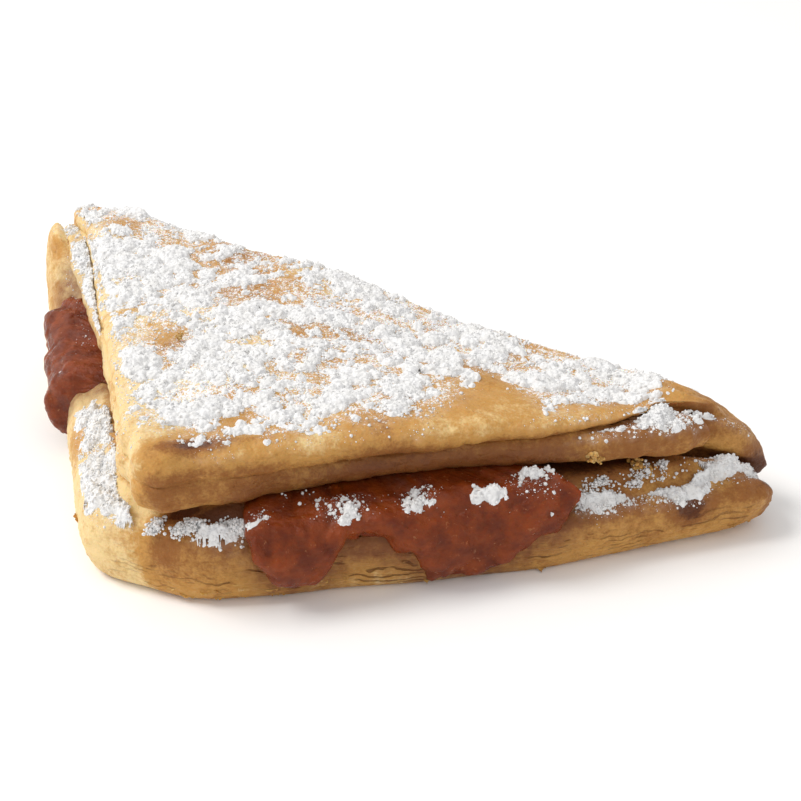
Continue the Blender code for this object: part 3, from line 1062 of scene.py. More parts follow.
@dataclass(frozen=True)
class Crust:
    """The folded sheet of puff pastry: lid, leaf under it, shelf, side and rolled fold.

    Profiles and sizes are in millimetres, as in the solid that this piece stands for. TwoArrays
    numbers are those of that solid's rings below its top.
    """

    lid_setback: Pairs = (
        (-16, 9), (-7, 7), (3, 2), (7, 2.2), (15, 5), (62, 4.6), (76, 3.8), (90, 4.9), (100, 6.3),
        (110, 8.6),
    )
    leaf_setback: Pairs = (
        (-109, 5.4), (-96, 5.6), (-84, 6.6), (-68, 8), (-20, 8.2), (-7, 6.4), (3, 1.8), (7, 2.2),
        (15, 5), (20, 5), (34, 6.6), (60, 6.4), (78, 3.9), (92, 2.4), (100, 2.4), (107, 3.6),
        (110.5, 7),
    )
    lid_edge_height: Pairs = ((-110, 25.6), (-98, 24.4), (-84, 23), (60, 22.8), (95, 22.4), (110, 22.8))
    groove_height: Pairs = (
        (-110, 24.8), (-98, 23.4), (-84, 22), (-76, 21.3), (20, 21), (36, 20.8), (58, 20.8), (76, 21.4),
    )
    underside_height: Pairs = (
        (-110, 23.4), (-105, 21), (-97, 20.2), (-84, 18.4), (-70, 16.6), (-12, 16.2), (10, 15.8),
        (84, 16.2), (110, 15.4),
    )
    lid_undercut: Pairs = ((-20, 0.9), (-5, 0.3), (28, 0.4), (38, 1.6), (70, 1.6), (90, 1))
    leaf_top_round: Pairs = ((-20, 1.3), (-5, 0.4), (28, 0.4), (40, 1.5))
    base_setback: Pairs = (
        (-100, 0.3), (-55, 0.9), (-20, 0.9), (8, 3), (36, 0.6), (56, -1.4), (72, -2.3), (104, -1.6),
        (110.5, -0.8),
    )
    base_tuck: Pairs = ((0, 2.6), (45, 2.4), (70, 2.1), (84, 3), (95, 4), (108, 4.8))
    bulge_height: Pairs = ((-98, 11), (-80, 4.6), (48, 4.6), (85, 6.8))
    rim_height: Pairs = (
        (-106.5, 24.6), (-101, 20.6), (-96, 17.8), (-88, 14.6), (-80, 12.7), (18, 12.7), (42, 10.8),
        (75, 9.6),
    )
    shelf_height: Pairs = (
        (-110, 22.9), (-105, 20.5), (-96, 18.8), (-84, 15.6), (-76, 14.9), (30, 14.9), (85, 13.2),
    )
    lid_edge_round: float = 3.6
    leaf_bottom_round: float = 1.6
    leaf_top_drop: float = 0.3
    base_edge_round: float = 3.4
    pocket_depth: float = 11.0
    pocket_slope: float = 0.25
    pocket_front_limit: float = 2.0
    shelf_width: float = 3.2
    fold_round: float = 5.0
    right_tip_round: float = 12.4
    back_tip_round: float = 4.0
    fold_under_round: float = 3.2
    right_tip_under_round: float = 6.2
    fold_widest_share: float = 0.42
    right_tip_widest_share: float = 0.25
    right_tip_reach: float = 0.8
    right_tip_power: float = 1.05
    right_tip_turn: float = 67.5
    right_tip_width: float = 6.0
    back_tip_turn: float = 292.5
    back_tip_width: float = 9.0
    columns: int = 640
    fold_density: float = 0.6
    top_rings: int = 30
    last_ring: int = 21
    ring_spans: tuple[tuple[int, int, int], ...] = (
        (0, 5, 24), (5, 6, 3), (6, 10, 16), (10, 13, 12), (13, 14, 6), (14, 21, 50),
    )
    tears: tuple[Triple, ...] = ((26, 7, 1.0), (46, 12, 1.0), (68, 12, 0.7), (98, 10, 0.5), (-50, 34, 0.8))
    least_torn: float = 0.25
    leaf_spacing: float = 1.3
    leaf_height: float = 0.34
    leaf_wander: tuple[Waves, ...] = (Waves(1.0, 13.0, 5, 2), Waves(0.35, 3.0, 6))
    doughy: Waves = Waves(0.30, 9.0, 1, 3)
    blisters: Lumps = Lumps(0.28, 3.4, 3, 0.7, 0.4)
    grain: Waves = Waves(0.14, 1.5, 2, 2)
    patches: Waves = Waves(0.16, 11.0, 31, 2)
    dust_share: float = 1.0
    soak_reach: float = 3.6
    baked: float = 0.32
    # Painted shade: darkens the front cut side below the lid's lip, which faces away from the lamp.
    painted_front_shade: float = 0.24
    baked_corner: float = 0.11
    # Painted shade in the groove under the lid's lip.
    painted_groove_shade: float = 0.02
    # Painted shade in the pocket between the leaf and the shelf.
    painted_pocket_shade: float = 0.45
    baked_rim: float = 0.12
    baked_fold: float = 0.10
    baked_top: float = 0.10
    # Painted light: pales the left cut side, which faces the lamp.
    painted_left_light: float = 0.24
    pale_leaf: float = 0.10
    pale_torn: float = 0.10
    leaf_ring: Pair = (9.0, 1.6)
    rim_ring: Pair = (15.5, 1.2)
    side_from: Pair = (0.15, 0.6)
    front_from: Pair = (-2.0, 8.0)
    corner_end: Pair = (24.0, 36.0)
    torn_heights: Pair = (5.0, 9.0)
    doughy_heights: Pair = (0.0, 4.0)
    leaf_heights: Pair = (0.6, 3.0)
    flat_below: float = 2.0
    top_rings_end: Pair = (-0.9, 0.5)
    shoulder_rings: Pair = (-0.3, 1.0)
    lip_rings: Pair = (1.4, 3.4)
    groove_rings: Pair = (3.0, 6.0)
    leaf_end_rings: Pair = (9.5, 10.5)
    pocket_rings: Pair = (10.0, 10.8)
    shelf_rings: Pair = (12.6, 13.3)
    below_rim_rings: Pair = (14.5, 17.0)
    browned_and_shaded: tuple[Spot, ...] = (
        Spot((77, -31, 8), (5, 5, 5), 0.75), Spot((59.2, -38.5, 7.9), (3.2, 3, 2.6), 0.70),
        Spot((-19.8, -28.6, 24.9), (5.6, 1.6, 1.6), 0.78), Spot((-34.4, 61, 22.5), (2.6, 3, 2.6), 0.45),
        Spot((66, -24, 20), (8, 6, 4), 0.30), Spot((74, -20, 14), (7, 9, 8), 0.22),
        Spot((48, -31, 20), (14, 4, 3), 0.24), Spot((31, -19, 24), (6, 5, 3), 0.12),
        Spot((-17.5, 7, 25.5), (4, 7, 3), 0.22), Spot((-24, 60, 27), (6, 6, 3), 0.10),
        Spot((16, -33, 18.6), (24, 5, 3.4), 0.34), Spot((-28, -32, 6), (6, 5, 6), 0.26),
        # Painted shade: the two spots below draw a dark line in the crevice under the leaf's front-left edge.
        Spot((-20.6, -28, 13.6), (3.4, 1, 1.2), 1.1), Spot((-14.6, -29.9, 13.5), (4.2, 1, 1.2), 1.2),
    )
    wetted_and_shaded: tuple[Spot, ...] = (
        # The two spots below, on the leaf's face under the lid's lip, are partly jam stain and partly painted
        # shade from the lip's overhang; the two after them are jam stain.
        Spot((14, -32, 18), (20, 6, 2.2), 0.75), Spot((34, -33, 17.5), (10, 6, 1.8), 0.45),
        Spot((8, -36, 8), (8, 4, 4), 0.35), Spot((3.5, -38.5, 10.5), (5.5, 4, 3.2), 0.75),
    )

    def ring_numbers(self) -> Array:
        """List the rings below the top, as fractions of the solid's ring numbers.

        Returns:
            TwoArrays numbers from 0 to the last, denser on the edges that show.
        """
        parts = [np.linspace(start, end, count, endpoint=False) for start, end, count in self.ring_spans]
        return np.concatenate([*parts, [float(self.last_ring)]])

    def cut_ring(self, number: float, where: Columns, top: Array) -> TwoArrays:
        """Give one ring of the cut sides.

        Rings 0 to 5 round the lid's edge, 6 to 10 the leaf's, 11 and 12 are the pocket's back,
        13 is the shelf and 14 to 21 round the side. Between them a ring lies on a straight line.

        Args:
            number: the ring's number, with a fraction.
            where: the columns.
            top: height of the lid's shoulder at each column.

        Returns:
            The ring's setback and height.
        """
        whole = math.floor(number)
        if whole in (5, 10, 11, 12, 13) and number > whole:
            near = self.cut_ring(float(whole), where, top)
            far = self.cut_ring(float(whole + 1), where, top)
            share = number - whole
            return near[0] + share * (far[0] - near[0]), near[1] + share * (far[1] - near[1])
        walk = where.walk
        leaf = profile(walk, self.leaf_setback)
        base = profile(walk, self.base_setback)
        groove = profile(walk, self.groove_height)
        underside = profile(walk, self.underside_height)
        shelf = profile(walk, self.shelf_height)
        inside = np.maximum(leaf, self.pocket_front_limit * MM) + self.pocket_depth * MM * (1.0 - where.fold)
        if number <= 5:
            turn = math.pi * (0.5 - number / 5.0)
            lid = profile(walk, self.lid_setback)
            widest = profile(walk, self.lid_edge_height)
            undercut = profile(walk, self.lid_undercut)
            return edge_point(turn, lid, self.lid_edge_round * MM, undercut, top, widest, groove)
        if number <= 10:
            turn = math.pi * (0.5 - (number - 6.0) / 4.0)
            leaf_top = groove - self.leaf_top_drop * MM
            middle = 0.5 * (leaf_top + underside)
            over = profile(walk, self.leaf_top_round)
            return edge_point(turn, leaf, over, self.leaf_bottom_round * MM, leaf_top, middle, underside)
        if whole == 11:
            return inside, underside + self.pocket_slope * MM
        if whole == 12:
            return inside, shelf - self.pocket_slope * MM
        if whole == 13:
            return np.minimum(base + (self.base_edge_round + self.shelf_width) * MM, inside), shelf
        turn = math.pi * (0.5 - (number - 14.0) / 7.0)
        tuck = profile(walk, self.base_tuck)
        rim = profile(walk, self.rim_height)
        bulge = profile(walk, self.bulge_height)
        return edge_point(turn, base, self.base_edge_round * MM, tuck, rim, bulge, 0.0)

    def fold_ring(self, number: float, where: Columns, lid_top: Top) -> TwoArrays:
        """Give one ring of the rolled fold, which has other values round each tip.

        Args:
            number: the ring's number, with a fraction.
            where: the columns.
            lid_top: the lid's top.

        Returns:
            The ring's setback and height.
        """
        right = bump(where.turn, self.right_tip_turn, self.right_tip_width)
        setback = -self.right_tip_reach * MM * right
        over = self.fold_shoulder(where) - setback
        under = (self.fold_under_round + (self.right_tip_under_round - self.fold_under_round) * right) * MM
        top = lid_top.at(*where.at(setback + over))
        share = self.fold_widest_share + (self.right_tip_widest_share - self.fold_widest_share) * right
        widest = share * top
        power = 2.0 + (self.right_tip_power - 2.0) * right
        turn = math.pi * (0.5 - number / self.last_ring)
        return edge_point(turn, setback, over, under, top, widest, np.zeros_like(top), power)

    def fold_shoulder(self, where: Columns) -> Array:
        """Find how far behind the plan's edge the lid's top ends on the fold."""
        right = bump(where.turn, self.right_tip_turn, self.right_tip_width)
        back = bump(where.turn, self.back_tip_turn, self.back_tip_width)
        rounding = self.fold_round + (self.right_tip_round - self.fold_round) * right
        rounding = rounding + (self.back_tip_round - self.fold_round) * back
        return (rounding - self.right_tip_reach * right) * MM

    def smooth_rings(self, plan: Plan, lid_top: Top) -> tuple[Columns, Array, Array]:
        """Work out the crust before its fine relief.

        Args:
            plan: the turnover's plan.
            lid_top: the lid's top.

        Returns:
            The columns, the rings' points, and each ring's number, below 0 on the top.
        """
        where = Columns(plan, self.columns, self.fold_density)
        cut_shoulder = profile(where.walk, self.lid_setback) + self.lid_edge_round * MM
        shoulder = cut_shoulder * (1.0 - where.fold) + self.fold_shoulder(where) * where.fold
        rows = []
        numbers = []
        for share in np.linspace(0.985, 0.0, self.top_rings, endpoint=False):
            setback = shoulder + share * (plan.cut_reach * MM - shoulder)
            rows.append((setback, lid_top.at(*where.at(setback))))
            numbers.append(-share)
        cut_top = lid_top.at(*where.at(cut_shoulder))
        for number in self.ring_numbers():
            cut = self.cut_ring(float(number), where, cut_top)
            roll = self.fold_ring(float(number), where, lid_top)
            rows.append(tuple(a * (1.0 - where.fold) + b * where.fold for a, b in zip(cut, roll)))
            numbers.append(number)
        last = rows[-1][0]
        for share in (0.25, 0.5, 0.75, 0.97):
            rows.append((last + share * (plan.cut_reach * MM - last), np.zeros_like(last)))
            numbers.append(self.last_ring + share)
        return where, where.rings(rows), np.array(numbers)

    def build(self, plan: Plan, lid_top: Top, jam_points: Array) -> Piece:
        """Build the crust with its relief and the masks that its material reads.

        Args:
            plan: the turnover's plan.
            lid_top: the lid's top.
            jam_points: points on the filling, which soaks the crust near it.

        Returns:
            The crust, which stands for the pastry solid.
        """
        where, rings, numbers = self.smooth_rings(plan, lid_top)
        number = np.broadcast_to(numbers[:, None], rings.shape[:2])
        walk = np.broadcast_to(where.walk, rings.shape[:2])
        front = climb(walk, self.front_from) * (1.0 - where.fold)
        below = step(number, *self.below_rim_rings)
        torn = self.least_torn
        for place, width, amount in self.tears:
            torn = torn + amount * bump(walk, place * MM, width * MM)
        low_down = 1.0 - climb(rings[..., 2], self.torn_heights)
        torn = torn * below * (0.6 + 0.4 * front) * low_down
        outward = ring_normals(rings)
        side = step(1.0 - np.abs(outward[..., 2]), *self.side_from)
        leaves = side * (0.12 + 0.88 * np.clip(torn, 0.0, 1.0))
        above = (1.0 - below) * step(number, *self.top_rings_end)
        rings = rings + outward * self.relief(rings, leaves, above)[..., None]
        rings[..., 2] = np.maximum(rings[..., 2], 0.0)
        browning_and_painted_light = self.browning_and_painted_light(rings, number, front, where.fold) - self.pale_torn * torn
        past = climb(walk, self.corner_end)
        lip = step(number, *self.lip_rings)
        # Painted shade in the groove under the lid's lip, on the front past the corner.
        browning_and_painted_light += self.painted_groove_shade * front * past * step(number, *self.groove_rings) * (1.0 - below)
        near_corner = front * (1.0 - past)
        browning_and_painted_light += self.baked_corner * near_corner * lip * (1.0 - step(number, *self.leaf_end_rings))
        browning_and_painted_light -= self.pale_leaf * near_corner * bump(number, *self.leaf_ring)
        # Jam stain near the filling, and under the lid's lip partly painted shade.
        damp_and_shade = np.clip(self.soaked(rings, jam_points) + all_spots(rings, self.wetted_and_shaded), 0.0, 1.0)
        piece = closed_rings("pastry_crust", rings)
        for name, values in (("browning_and_painted_light", browning_and_painted_light), ("damp_and_shade", damp_and_shade), ("leaves", leaves)):
            set_mask(piece, name, np.concatenate([values.ravel(), [values[0].mean()], [0.0]]))
        return piece

    def relief(self, rings: Array, leaves: Array, above: Array) -> Array:
        """Work out how far each point stands out from the smooth form.

        Wide doughy waves, blisters on the top and rims, fine grain, and on the sides stacked
        leaves: a ridge over the height, whose phase wanders. All of it fades at the table.

        Args:
            rings: the smooth points.
            leaves: how strongly the leaves show.
            above: 1 on the top and the rims, where blisters rise.

        Returns:
            The relief, in metres.
        """
        height = rings[..., 2]
        phase = (height + layered(rings, self.leaf_wander, MM)) / (self.leaf_spacing * MM)
        ridge = 1.0 - 2.0 * np.abs(phase - np.floor(phase) - 0.5)
        relief = self.doughy.over(rings, MM) * climb(height, self.doughy_heights)
        relief += self.blisters.over(rings, MM) * above
        relief += self.grain.over(rings, MM)
        relief += self.leaf_height * MM * (ridge - 0.5) * leaves * climb(height, self.leaf_heights)
        return relief * np.clip(height / (self.flat_below * MM), 0.0, 1.0)

    def browning_and_painted_light(self, rings: Array, number: Array, front: Array, fold: Array) -> Array:
        """Work out each point's browning and painted light: patches, rim, fold, painted shade on the front
        edge and in the pocket, painted light on the left side.

        Args:
            rings: the points.
            number: each point's ring number.
            front: 1 on the front cut side.
            fold: 1 on the fold.

        Returns:
            The browning with its painted light and shade, about 0 where pale and 1 where dark.
        """
        pocket = step(number, *self.pocket_rings) * (1.0 - step(number, *self.shelf_rings))
        browning_and_painted_light = self.baked + self.patches.over(rings)
        # Painted shade on the front cut side, below the lid's lip.
        browning_and_painted_light += self.painted_front_shade * front * step(number, *self.lip_rings)
        # Painted light: the left cut side, lit by the lamp, is made paler.
        browning_and_painted_light -= self.painted_left_light * (1.0 - front) * (1.0 - fold)
        # Painted shade in the pocket between the leaf and the shelf.
        browning_and_painted_light += self.painted_pocket_shade * pocket
        browning_and_painted_light += self.baked_rim * bump(number, *self.rim_ring)
        browning_and_painted_light += self.baked_fold * fold * step(number, 0.0, 6.0)
        browning_and_painted_light += self.baked_top * (1.0 - step(number, *self.shoulder_rings))
        return browning_and_painted_light + all_spots(rings, self.browned_and_shaded)

    def soaked(self, rings: Array, jam_points: Array) -> Array:
        """Find how much the filling has soaked each point of the crust.

        The strength falls from 1 to 0 as a bell over the distance to the nearest jam point.

        Args:
            rings: the crust's points.
            jam_points: points on the filling that shows.

        Returns:
            The strength at each point.
        """
        flat = rings.reshape(-1, 3).astype(np.float32)
        near = np.full(len(flat), 1.0, dtype=np.float32)
        for some in np.array_split(jam_points.astype(np.float32), 40):
            apart = np.sum(flat**2, axis=1)[:, None] + np.sum(some**2, axis=1)[None] - 2.0 * flat @ some.T
            near = np.minimum(near, apart.min(axis=1))
        distance = np.sqrt(np.clip(near, 0.0, None)).reshape(rings.shape[:2])
        return bump(distance, 0.0, self.soak_reach * MM)


@dataclass(frozen=True)
class Jam:
    """The filling: a core in the pocket, with tongues that run out over the lower flap."""

    reach: Pairs = (
        (-108, 11.5), (-103, 6.2), (-95, 4.6), (-88, 2.8), (-81, -0.5), (-74, -0.8), (-67, -1.6),
        (-62, -2), (-57, -2), (-51, 11.5), (20, 11.5), (26, -1.2), (29, -2), (36, -2), (41, -0.4),
        (50, -2.8), (69, -3), (75, -1.4), (79, 11.5),
    )
    low: Pairs = (
        (-109, 15.4), (-103, 17), (-92, 14.8), (-84, 11.5), (-72, 6.5), (-63, 2.8), (-57, 2.8),
        (-52, 12.8), (23, 12.6), (29, 3.4), (34.5, 3.4), (40, 12.2), (45, 12.6), (53, 1.4), (61, 1.2),
        (71, 7.2), (76, 12.8),
    )
    high: Pairs = (
        (-109, 17.8), (-103, 19.4), (-97, 19.2), (-84, 17.4), (-70, 15.8), (62, 15.2), (78, 15.8),
    )
    widest_share: float = 0.42
    shows_from: float = 4.0
    crown: Pair = (2.0, 6.0)
    lip: Pair = (1.2, 2.6)
    core_setback: float = 12.5
    core_fold_setback: float = 14.0
    core_fold_heights: Pair = (12.8, 15.2)
    core_steps: Pair = (9.0, 12.0)
    core_top: float = 16.4
    core_bottom: float = 10.0
    core_bottom_dome: float = 0.4
    core_sill: Pair = (-4.0, 12.4)
    ragged: tuple[Waves, ...] = (Waves(0.9, 4.1, 71), Waves(0.5, 1.7, 73))
    sag: Waves = Waves(1.0, 5.3, 79, 2)
    sag_depth: Pair = (1.2, 2.8)
    sag_heights: Pair = (6.0, 12.2)
    lumps: tuple[Lumps, ...] = (
        Lumps(0.55, 5.2, 49, 0.9, 0.45), Lumps(0.55, 2.8, 41, 0.9, 0.45), Lumps(0.30, 1.7, 43, 0.8, 0.35),
    )
    pulp: tuple[Waves, ...] = (Waves(0.45, 6.0, 45, 2), Waves(0.10, 0.9, 47))
    dust_share: float = 0.22
    highest_lump: float = 0.7
    lowest_edge: float = 0.6
    lowest_point: float = 0.3
    columns: int = 760
    fold_density: float = 0.12
    edge_rings: int = 96

    def build(self, plan: Plan) -> tuple[Piece, Array]:
        """Build the jam with lumps and pulp on what shows.

        Rings round the tongue's edge as two quarter ellipses, and rings above and below them
        close the hidden core. Lumps are added along the outward direction.

        Args:
            plan: the turnover's plan.

        Returns:
            The jam, which stands for the filling solid, and the points that show.
        """
        where = Columns(plan, self.columns, self.fold_density)
        cut = 1.0 - where.fold
        fold_low, fold_high = self.core_fold_heights
        outer = profile(where.walk, self.reach) * cut + self.core_fold_setback * MM * where.fold
        low = profile(where.walk, self.low) * cut + fold_low * MM * where.fold
        high = profile(where.walk, self.high) * cut + fold_high * MM * where.fold
        shows = 1.0 - step(outer, self.shows_from * MM, self.core_setback * MM)
        widest = low + self.widest_share * (high - low)
        crown = (self.crown[0] + (self.crown[1] - self.crown[0]) * shows) * MM
        lip = (self.lip[0] + (self.lip[1] - self.lip[0]) * shows) * MM
        near, far = self.core_steps
        inner = np.maximum(outer + near * MM, self.core_setback * MM)
        none = np.zeros_like(outer)
        along = where.walk[:, None]
        least, more = self.sag_depth
        sags = least + more * step(self.sag.over(along), -0.3, 0.7)
        low = low + (layered(along, self.ragged) - sags * climb(low, self.sag_heights)) * MM * shows
        low = np.maximum(low, self.lowest_edge * MM)
        rows = [(inner + far * MM, none + self.core_top * MM), (inner + near * MM, none + self.core_top * MM)]
        for turn in np.linspace(0.5 * math.pi, -0.5 * math.pi, self.edge_rings):
            rows.append(edge_point(turn, outer, crown, lip, high, widest, low))
        sill_setback, sill_height = self.core_sill
        rows.append((inner + sill_setback * MM, np.maximum(low, sill_height * MM)))
        rows.append((inner + near * MM, none + (self.core_bottom + self.core_bottom_dome) * MM))
        rows.append((inner + far * MM, none + self.core_bottom * MM))
        rings = where.rings(rows)
        outward = ring_normals(rings)
        lumps = layered(rings, self.lumps, MM) + layered(rings, self.pulp, MM)
        lumps = np.minimum(lumps, self.highest_lump * MM) * shows
        lumps[:2] = 0.0
        lumps[-3:] = 0.0
        rings = rings + outward * lumps[..., None]
        rings[..., 2] = np.maximum(rings[..., 2], self.lowest_point * MM)
        piece = closed_rings("jam_filling", rings)
        shown = rings[2:-3:6, ::4][:, shows[::4] > 0.6].reshape(-1, 3)
        return piece, shown


class Landing:
    """The surface that falling sugar meets, read on an even grid seen from above."""

    margin: float = 1.0 * MM
    start_over: float = 20.0 * MM
    dust_reach: float = 1.1 * MM
    shaded: Pair = (0.3, 1.2)
    level: Pair = (0.1, 0.7)

    def __init__(self, targets: list[Piece], spacing: float) -> None:
        """Drop a grid of points straight down onto the pieces.

        Args:
            targets: the crust and the jam.
            spacing: distance between neighbouring points, in metres.
        """
        low, high = (np.array(corner) for corner in CAD_BOX)
        self.spacing = spacing
        self.x = np.arange(low[0] - self.margin, high[0] + self.margin, spacing)
        self.y = np.arange(low[1] - self.margin, high[1] + self.margin, spacing)
        x, y = np.meshgrid(self.x, self.y, indexing="ij")
        start = high[2] + self.start_over
        points = np.stack([x, y, np.full_like(x, start)], axis=-1)
        grid = self.dropped(points, targets)
        self.hit = grid[..., 2] < start - self.margin
        self.height = np.where(self.hit, grid[..., 2], 0.0)
        self.points = np.stack([x, y, self.height], axis=-1)
        slope_x, slope_y = np.gradient(self.height, spacing)
        self.slope = np.hypot(slope_x, slope_y)

    def spread(self, values: Array, reach: float) -> Array:
        """Blur values on the grid, by two running means along each axis.

        Args:
            values: one value at each grid point.
            reach: half the width of each mean, in metres.

        Returns:
            The blurred values.
        """
        half = max(1, round(reach / self.spacing))
        for axis in (0, 1, 0, 1):
            pad = [(half + 1, half) if side == axis else (0, 0) for side in (0, 1)]
            total = np.cumsum(np.pad(values, pad, mode="edge"), axis=axis)
            ends = np.take(total, np.arange(2 * half + 1, total.shape[axis]), axis=axis)
            starts = np.take(total, np.arange(total.shape[axis] - 2 * half - 1), axis=axis)
            values = (ends - starts) / (2 * half + 1)
        return values

    def lay_dust(self, piece: Piece, cover: Array) -> None:
        """Store the dust on a piece: the blurred cover over each vertex that is open above and level.

        Args:
            piece: the crust or the jam.
            cover: how much the powder hides, on the grid.
        """
        near = self.spread(cover, self.dust_reach)
        points = vertex_values(piece, "co")
        row, column = (
            np.clip(np.round((points[:, axis] - line[0]) / self.spacing).astype(int), 0, len(line) - 1)
            for axis, line in enumerate((self.x, self.y))
        )
        open_above = 1.0 - climb(self.height[row, column] - points[:, 2], self.shaded)
        level = step(vertex_values(piece, "normal")[:, 2], *self.level)
        set_mask(piece, "dust", near[row, column] * open_above * level)

    def dropped(self, points: Array, targets: list[Piece]) -> Array:
        """Let a flat grid fall along Z onto the targets.

        Args:
            points: the grid, rows x columns x 3.
            targets: the crust and the jam.

        Returns:
            The grid where it came to rest.
        """
        rows, columns = points.shape[:2]
        sheet = mesh_object("falling_grid", points.reshape(-1, 3), grid_quads(rows, columns))
        fall = sheet.modifiers.new("fall", "SHRINKWRAP")
        fall.wrap_method = "PROJECT"
        fall.use_project_z = True
        fall.use_negative_direction = True
        fall.use_positive_direction = False
        fall.target = targets[0]
        fall.auxiliary_target = targets[1]
        shape = sheet.evaluated_get(bpy.context.evaluated_depsgraph_get()).to_mesh()
        rested = np.empty(len(shape.vertices) * 3, dtype=np.float32)
        shape.vertices.foreach_get("co", rested)
        bpy.data.objects.remove(sheet, do_unlink=True)
        return rested.reshape(points.shape).astype(np.float64)


@dataclass(frozen=True)
class Sugar:
    """The icing sugar: clumped powder on every face that looks up, and loose grains.

    Cover is how much of the surface the sugar hides, from 0 to 1.
    """

    spacing: float = 0.215
    lid_cover: float = 0.70
    ledge_cover: float = 0.80
    skin: float = 0.34
    heap: float = 1.45
    headroom: float = 0.7
    thinnest: float = 0.1
    level_stride: int = 37
    ragged: Waves = Waves(1.9, 3.4, 65, 2)
    lid_patches: tuple[Waves, ...] = (Waves(0.10, 13.0, 61, 2), Waves(0.12, 4.0, 75, 2))
    ledge_patches: Waves = Waves(0.28, 3.2, 77, 2)
    bends: tuple[Waves, ...] = (Waves(1.0, 1.7, 63), Waves(1.0, 1.7, 67))
    bend_reach: float = 0.40
    clumps: tuple[Lumps, ...] = (
        Lumps(0.42, 3.7, 51, 0.8), Lumps(0.38, 1.8, 53, 0.85), Lumps(0.22, 0.95, 55, 0.9),
    )
    uneven: tuple[Waves, ...] = (Waves(0.05, 0.9, 57, 2), Waves(0.22, 6.0, 59, 2))
    grainy: Waves = Waves(0.04, 0.6, 69)
    skin_fringe: float = 0.09
    ledge_heap: float = 0.6
    buried: float = 0.16
    front_fringe: Pair = (-2.0, 1.0)
    front_fade: Pair = (0.5, 9.0)
    lid_inset: float = 1.2
    fold_inset: float = 1.0
    lid_fringe: Pair = (-0.4, 1.4)
    lid_heights: Pair = (16.0, 18.0)
    steepest_drop: Pair = (1.5, 0.65)
    steepest_fall: Pair = (0.80, 0.38)
    front_line: Pairs = (
        (-27, -22.5), (-23, -26), (-19, -28), (-15.3, -28.3), (-10.4, -25.3), (-6.8, -30.7), (1.5, -30.7),
        (7.3, -29.1), (14.4, -29.1), (21.3, -27.6), (27.9, -20.3), (31.5, -13), (33.6, -11.5),
        (35.2, -24), (36.5, -30), (42.7, -28.9), (50.7, -26.7), (56.9, -24.8), (64, -21),
    )
    bare: tuple[Spot, ...] = (
        Spot((31, -17, 24), (4.5, 6, 9), 0.5), Spot((-17.8, 7.5, 25.5), (2.6, 5, 6), 0.55),
        Spot((-24.4, 22, 25), (2, 3, 4), 0.4), Spot((-21.5, 58, 27), (4, 3.6, 4), 0.45),
        Spot((-12, -22.5, 25), (3.2, 3.4, 4), 0.7), Spot((66, -23, 21), (6, 5, 5), 1),
        Spot((-20, -26.4, 25), (4.6, 2.4, 4), 0.32), Spot((9, 31, 25), (18, 8, 8), 0.26),
        Spot((-5, 42, 26), (9, 9, 8), 0.22), Spot((4, 6, 25), (6, 3.5, 8), 0.20),
        Spot((-6, -6, 25), (3.5, 4, 8), 0.20),
    )
    ledges: tuple[Spot, ...] = (
        Spot((-31.6, 1, 13.5), (3.4, 9, 4), 0.85), Spot((-31, -16, 12.5), (4, 8, 4), 0.9),
        Spot((-30, -25, 10.5), (3.2, 2.6, 3), 1.1), Spot((-28.4, 34, 22), (1.6, 12, 3), 0.9),
        Spot((-29.2, 52, 24), (2.4, 9, 4), 1), Spot((-30.6, 66, 24.4), (2, 3, 3), 0.7),
        Spot((-23.6, -30, 11.6), (3.8, 1.6, 2.6), 1.1), Spot((-16.4, -32.6, 12.2), (5.4, 1.5, 2.8), 1.2),
        Spot((-9.6, -33.9, 12.4), (3.6, 1.4, 2.6), 0.95), Spot((44.8, -34.2, 11.2), (6.4, 2.8, 4), 1.35),
        Spot((57.6, -33.8, 11), (4.6, 3.2, 4), 1.35), Spot((62.5, -35, 10), (2.6, 1.8, 3), 0.6),
        Spot((71.5, -31.4, 10), (4.8, 2.2, 4.5), 1.25), Spot((56, -30.8, 21.4), (4.6, 3, 2), 1.1),
        Spot((65.6, -28.6, 20), (4.6, 2.4, 2.6), 1.1), Spot((43.6, -32.2, 21.4), (5, 1.2, 2), 0.85),
        Spot((34, -32.3, 20.5), (3.6, 1, 2), 0.6),
    )
    on_jam: tuple[Spot, ...] = (
        Spot((2.8, -35, 15), (3.4, 2.4, 3), 0.62), Spot((-2.6, -31, 15.5), (3, 2.2, 3), 0.40),
        Spot((14.6, -33.6, 15), (2.6, 3.2, 3), 0.72), Spot((25.6, -36.3, 14.6), (3, 1, 3), 0.55),
        Spot((33.4, -34.6, 15.2), (3.2, 2.4, 3), 0.72), Spot((33.7, -39.4, 11.4), (1, 0.8, 1.4), 0.60),
        Spot((-33.5, 28, 13), (2, 4, 4), 0.16),
    )

    def cover(self, land: Landing, on_lid: Array) -> Array:
        """Work out how much of each point the sugar hides.

        Args:
            land: the surface it meets.
            on_lid: 1 on the lid's top and 0 on the ledges.

        Returns:
            The cover, from 0 to 1.
        """
        points = land.points
        flat = plan_of(points)
        behind = points[..., 1] - profile(points[..., 0], self.front_line) + self.ragged.over(flat, MM)
        lid = self.lid_cover - all_spots(points, self.bare) + layered(flat, self.lid_patches)
        lid = lid * (0.55 * climb(behind, self.front_fringe) + 0.45 * climb(behind, self.front_fade))
        dusted = all_spots(points, self.ledges)
        ledge = np.clip(dusted + self.ledge_patches.over(flat), 0.0, 1.0) * step(dusted, 0.05, 0.3)
        ledge = ledge * self.ledge_cover
        ledge = np.maximum(ledge, all_spots(points, self.on_jam))
        return np.clip(on_lid * lid + (1.0 - on_lid) * ledge, 0.0, 1.0)

